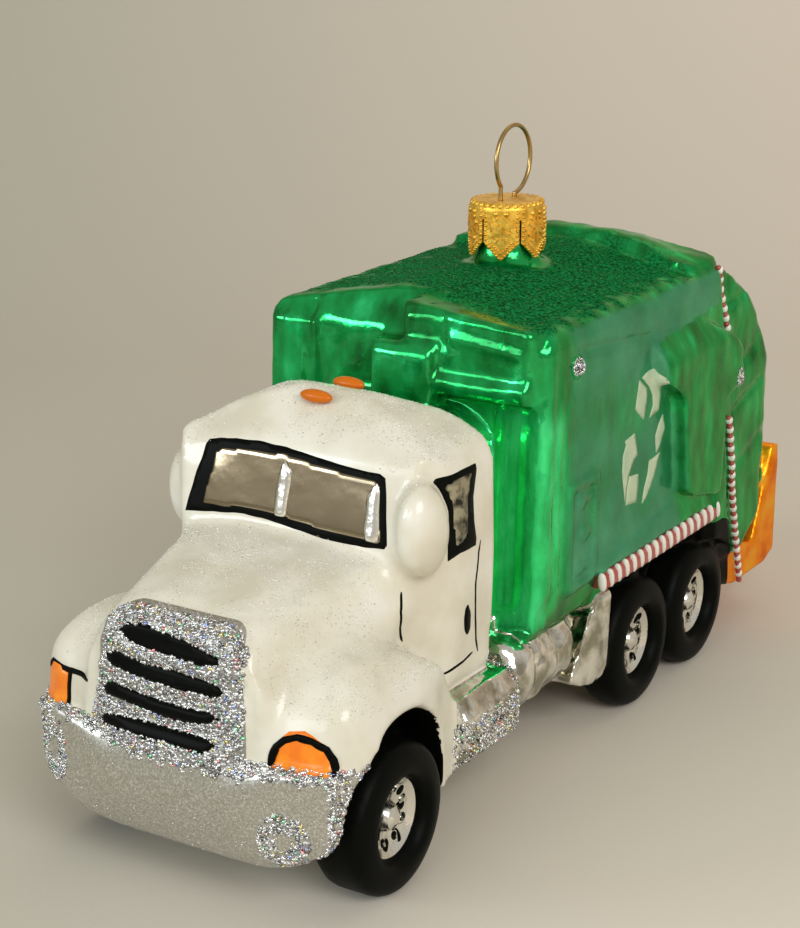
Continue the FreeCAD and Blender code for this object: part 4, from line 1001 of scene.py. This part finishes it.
for k in range(RIM_BEADS):
    out = ring_way(2 * math.pi * k / RIM_BEADS) * (CAP_RADIUS - 0.45) * MM
    beads.append((at(0, CAP_STATION, CAP_TOP - 0.42) + out, np.eye(3) * (RIM_SIZE * MM)))
blobs("cap_beads", beads, GOLD, body="cap")


# ---- glitter
def spots(count):
    """Random places on the skin: positions, normals and millimetre coordinates."""
    a, b, c = (skin_co[skin_tri[:, k]] for k in range(3))
    area = np.linalg.norm(np.cross(b - a, c - a), axis=1)
    pick = np.searchsorted(np.cumsum(area) / area.sum(), rng.random(count))
    u, v = rng.random(count), rng.random(count)
    flip = u + v > 1
    u, v = np.where(flip, 1 - u, u)[:, None], np.where(flip, 1 - v, v)[:, None]
    points = a[pick] + u * (b - a)[pick] + v * (c - a)[pick]
    return points, skin_normals[skin_tri[pick, 0]], to_mm(points)


def sprinkle(name, points, normals, size, shades, finish, tilt=0.5, sides=5):
    """Small flat flakes stuck at random tilts in one piece; shades are colours with their chances."""
    count = len(points)
    normals = unit(normals + tilt * rng.normal(size=(count, 3)))
    first = unit(np.cross(normals, rng.normal(size=(count, 3))))
    second = np.cross(normals, first)
    reach = (size * (0.6 + 0.8 * rng.random(count)) * MM)[:, None]
    verts = []
    for k in range(sides):
        angle = 2 * math.pi * k / sides
        verts.append(points + reach * (math.cos(angle) * first + math.sin(angle) * second + 0.25 * normals))
    verts += [points + 0.55 * reach * normals, points - 0.25 * reach * normals]
    verts = inside_cad(np.stack(verts, 1).reshape(-1, 3), 0.0)
    each = sides + 2
    shape = []
    for k in range(sides):
        after = (k + 1) % sides
        shape += [(k, after, sides), (after, k, sides + 1)]
    faces = (np.array(shape)[None] + (np.arange(count) * each)[:, None, None]).reshape(-1, 3)
    obj = new_object(name, verts, faces, smooth=False)
    layer = obj.data.color_attributes.new("flake", "FLOAT_COLOR", "POINT")
    colors, chances = np.array([shade[:3] for shade in shades]), np.array([shade[3] for shade in shades])
    picked = colors[rng.choice(len(colors), count, p=chances / chances.sum())]
    picked = picked * (0.75 + 0.4 * rng.random((count, 1)))
    rgba = np.concatenate([np.clip(picked, 0, 1), np.ones((count, 1))], 1)
    layer.data.foreach_set("color", np.repeat(rgba, each, axis=0).ravel())
    return dress(obj, finish)


# red, green, blue and the chance of each shade
SILVER_SHADES = [(0.97, 0.97, 0.97, 45), (0.62, 0.61, 0.60, 34), (0.30, 0.30, 0.30, 14),
                 (0.9, 0.35, 0.35, 1.6), (0.35, 0.8, 0.5, 1.8), (0.4, 0.5, 0.95, 1.8), (0.9, 0.75, 0.3, 1.6)]
DUST_SHADES = [(0.97, 0.97, 0.97, 70), (0.62, 0.61, 0.60, 25), (0.30, 0.30, 0.30, 5)]
SUGAR_SHADES = [(0.98, 0.97, 0.93, 66), (0.80, 0.76, 0.66, 26), (0.50, 0.45, 0.36, 5), (0.6, 0.85, 0.75, 3)]
GRIT_SHADES = [(0.002, 0.010, 0.004, 62), (0.006, 0.10, 0.03, 24), (0.08, 0.42, 0.18, 11),
               (0.45, 0.30, 0.10, 3)]
TRIES = 900000
where, facing, spot_mm = spots(TRIES)
sx, ss, sz = spot_mm.T
ax = np.abs(sx)
dice = rng.random(len(sx))

# each zone is a test on x, station and height: first the grille and the bumper
on_slots = np.zeros(len(sx), dtype=bool)
for slot in SLOTS:
    on_slots |= (ss < 5) & within(spot_mm[:, (0, 2)], swollen(slot, 1.03, 1.12))
ragged = 0.5 * np.sin(sx * 1.7) + 0.4 * np.sin(sx * 4.1 + 1)
grille_zone = (ss < 4.8) & between(sz, 18.8, 34.6) & ~on_slots
grille_zone &= (sx < 10.4 - 1.1 * np.maximum(sz - 32.0, 0)) & (sx > -8.7 - 0.26 * (33 - sz))
BAND_X = (-22, -18, -13.4, -9.6, -4.6, 1.8, 10.6, 13.7, 21.8)
BAND_FOOT = (18.6, 19.3, 18.8, 18.1, 17.3, 17.4, 17.7, 18.6, 18.3)
band = (ss < 8) & between(sz, np.interp(sx, BAND_X, BAND_FOOT) + 0.7 * ragged, BUMPER_TOP)
bumper_side = between(sz, 8, BUMPER_TOP)
near_end = (ss > 3.3 + 0.4 * ragged) & (ss < 5.6) & (sx > 19)
far_end = between(ss, 3.0, 6.0) & (sx < -20.8)
fogs = (between(np.hypot((sx - 15.5) / 3.1, (sz - 11.0) / 3.5), 0.33, 1)
        | between(np.hypot((sx + 18.9) / 2.6, (sz - 13.9) / 4.4), 0.35, 1))
coarse = grille_zone | band | ((near_end | far_end) & bumper_side) | ((ss < 4.5) & fogs & (dice < 0.70))

# step tanks, front rivets and the knobs on the cords
tank_side = (ax > 15) & (sz > 9)
tank_front = between(ss, 30, 45.5) & (sz < 16.4 + 0.8 * ragged)
tank_back = between(ss, 43.2, 46.5) & (sz < 19.2)
tanks = tank_side & (tank_front | tank_back)
rivets = (ax > 20.6) & (np.hypot(ss - RIVET_STATION, sz - RIVET_Z) < 1.2)
knobs = (ax > 21.0) & (np.hypot((ss - 106.0) * 1.3, sz - 43.2) < 1.5)
chosen = (coarse & (dice < 0.85)) | (tanks & (dice < 0.42)) | rivets | knobs
sprinkle("glitter_coarse", where[chosen], facing[chosen], 0.25, SILVER_SHADES, FLAKE)
dust = (ss < 5.4) & between(sz, 4, 19.5) & (dice < 0.05)
sprinkle("glitter_dust", where[dust], facing[dust], 0.075, DUST_SHADES, FLAKE, 0.3, 4)

# sugar on the hood, the fenders and the cab's roof
upward = facing[:, 2] > 0.35
hood = between(ss, 2, 25) & (sz > 25) & upward
cab = between(ss, 26, 41.5) & (sz > 49.5) & upward
fenders = between(ss, 6, 33) & (ax > 12) & (sz > BUMPER_TOP) & upward
thick = 0.5 + blur_noise(where, 6.0)
sugar = ((hood | fenders) & (dice < 0.62 * thick)) | (cab & (dice < 0.75 * thick))
sprinkle("sugar_white", where[sugar], facing[sugar], 0.095, SUGAR_SHADES, SUGAR, 0.7, 3)

# crumbs round the front rivets
CRUMBS = 90
ways = rng.normal(size=(2 * CRUMBS, 3))
outward = np.repeat((-1, 1), CRUMBS)
ways[:, 0] = outward * np.abs(ways[:, 0])
ways = unit(ways)
crumbs = np.array([at(sign * RIVET_X, RIVET_STATION, RIVET_Z) for sign in outward])
crumbs += ways * (0.9, 1.1, 1.1) * MM
sprinkle("glitter_rivets", crumbs, ways, 0.24, SILVER_SHADES, FLAKE)

# grit on the green roof
grit = (ss > 44) & (sz > 57) & (dice < 0.24 * green_tones(where, facing)[1])
sprinkle("grit_roof", where[grit], facing[grit], 0.085, GRIT_SHADES, GRIT, 0.5, 4)

# ---- CAD nodes that show as they are
SHOWN = {"hub_": BARE[0], "beacon": BEACON_MAT, "rivet": CRUST_MAT, "rub_rail_": CANDY_RED[0],
         "cap": GOLD[0], "hanger": WIRE_MAT}
for name, node in NODES.items():
    for start, mat in SHOWN.items():
        if name.startswith(start):
            wear(node, mat)

# ---- floor and backdrop
HEADING = 32.36  # the way the camera looks, in degrees from +Y
heading = math.radians(HEADING)
ahead = np.array((-math.sin(heading), math.cos(heading)))
across = np.array((math.cos(heading), math.sin(heading)))

# the sweep's profile in metres: how far ahead and how high
FLOOR_NEAR, FLOOR_FAR, BEND = -0.9, 0.2, 0.35
SWEEP = [(reach, 0.0) for reach in np.linspace(FLOOR_NEAR, FLOOR_FAR, 12)]
SWEEP += [(FLOOR_FAR + BEND * math.sin(t), BEND - BEND * math.cos(t))
          for t in np.linspace(0.1, math.pi / 2, 14)]
SWEEP += [(FLOOR_FAR + BEND, 1.0), (FLOOR_FAR + BEND, 1.8)]
ACROSS = np.linspace(-1.6, 1.6, 33)
wide = len(ACROSS)
backdrop_verts = [(*(ahead * reach + across * x), height) for reach, height in SWEEP for x in ACROSS]
backdrop_faces = [(r * wide + c, r * wide + c + 1, (r + 1) * wide + c + 1, (r + 1) * wide + c)
                  for r in range(len(SWEEP) - 1) for c in range(wide - 1)]


def backdrop_painted_shade(x, reach, height):
    """Painted light and shade: paler to the right and higher up, where the light falls, and darkest on the
    floor's near left, a painted shadow.
    """
    side = float(ramp(np.array(x), -0.28, 0.22))
    if reach < 0:
        return 1.2 * side - 0.5 * (1 - side)
    return side * (0.75 + 0.25 * min(1.0, height / 0.3)) + 0.25 * min(1.0, height / 0.5)


backdrop = new_object("backdrop", backdrop_verts, backdrop_faces)
paper = material("paper", (0.56, 0.51, 0.43), rough=0.95, spec=0.05)
# the tone attribute carries the painted light and shade into the paper's colour
tone = backdrop.data.attributes.new("tone", "FLOAT", "POINT")
tone.data.foreach_set("value", [backdrop_painted_shade(x, reach, height) for reach, height in SWEEP for x in ACROSS])
MOTTLE_SIZE, MOTTLE = 0.8, 0.06
shade = multiply_add(paper, noise_out(paper, MOTTLE_SIZE, 2.0), MOTTLE, attribute(paper, "tone"))
link(paper, color_ramp(paper, shade, [(0.0, (0.45, 0.44, 0.36)), (1.0, (0.86, 0.76, 0.66))]), "Base Color")
wear(backdrop, paper)

# ---- camera and light
CAMERA_PLACE = (144.126, -176.645, 122.764)
CAMERA_DOWN, CAMERA_ROLL = 17.01, 0.02
camera_data = bpy.data.cameras.new("camera")
camera = add_object("camera", camera_data)
camera.location = Vector(at(*CAMERA_PLACE))
camera.rotation_euler = (math.radians(90 - CAMERA_DOWN), math.radians(CAMERA_ROLL), heading)
camera_data.lens = 83.5
camera_data.sensor_width = 36
scene = bpy.context.scene
scene.camera = camera
scene.view_settings.view_transform = "Standard"
world = bpy.data.worlds.new("world")
scene.world = world
world.use_nodes = True
sky = world.node_tree.nodes["Background"]
sky.inputs["Color"].default_value = (0.86, 0.825, 0.73, 1)
sky.inputs["Strength"].default_value = 0.56


def area_light(name, position, height, size, power, color):
    """A soft lamp that faces a height on the object's axis; metres and watts."""
    data = bpy.data.lights.new(name, "AREA")
    data.shape = "RECTANGLE"
    data.size, data.size_y = size
    data.energy = power
    data.color = color
    obj = add_object(name, data)
    obj.location = position
    obj.rotation_euler = (Vector((0, 0, height)) - Vector(position)).to_track_quat("-Z", "Y").to_euler()


area_light("window", (0.42, -0.30, 0.34), 0.03, (0.34, 0.24), 1.8, (0.98, 0.99, 1.0))
area_light("back", (0.02, 0.40, 0.70), 0.03, (0.60, 0.50), 0.5, (1.0, 0.97, 0.92))
area_light("front", (-0.12, -0.60, 0.22), 0.02, (0.40, 0.20), 0.80, (0.80, 0.91, 1.0))
area_light("glint", (-0.37, -0.45, 0.19), 0.04, (0.18, 0.13), 0.85, (0.84, 0.93, 1.0))
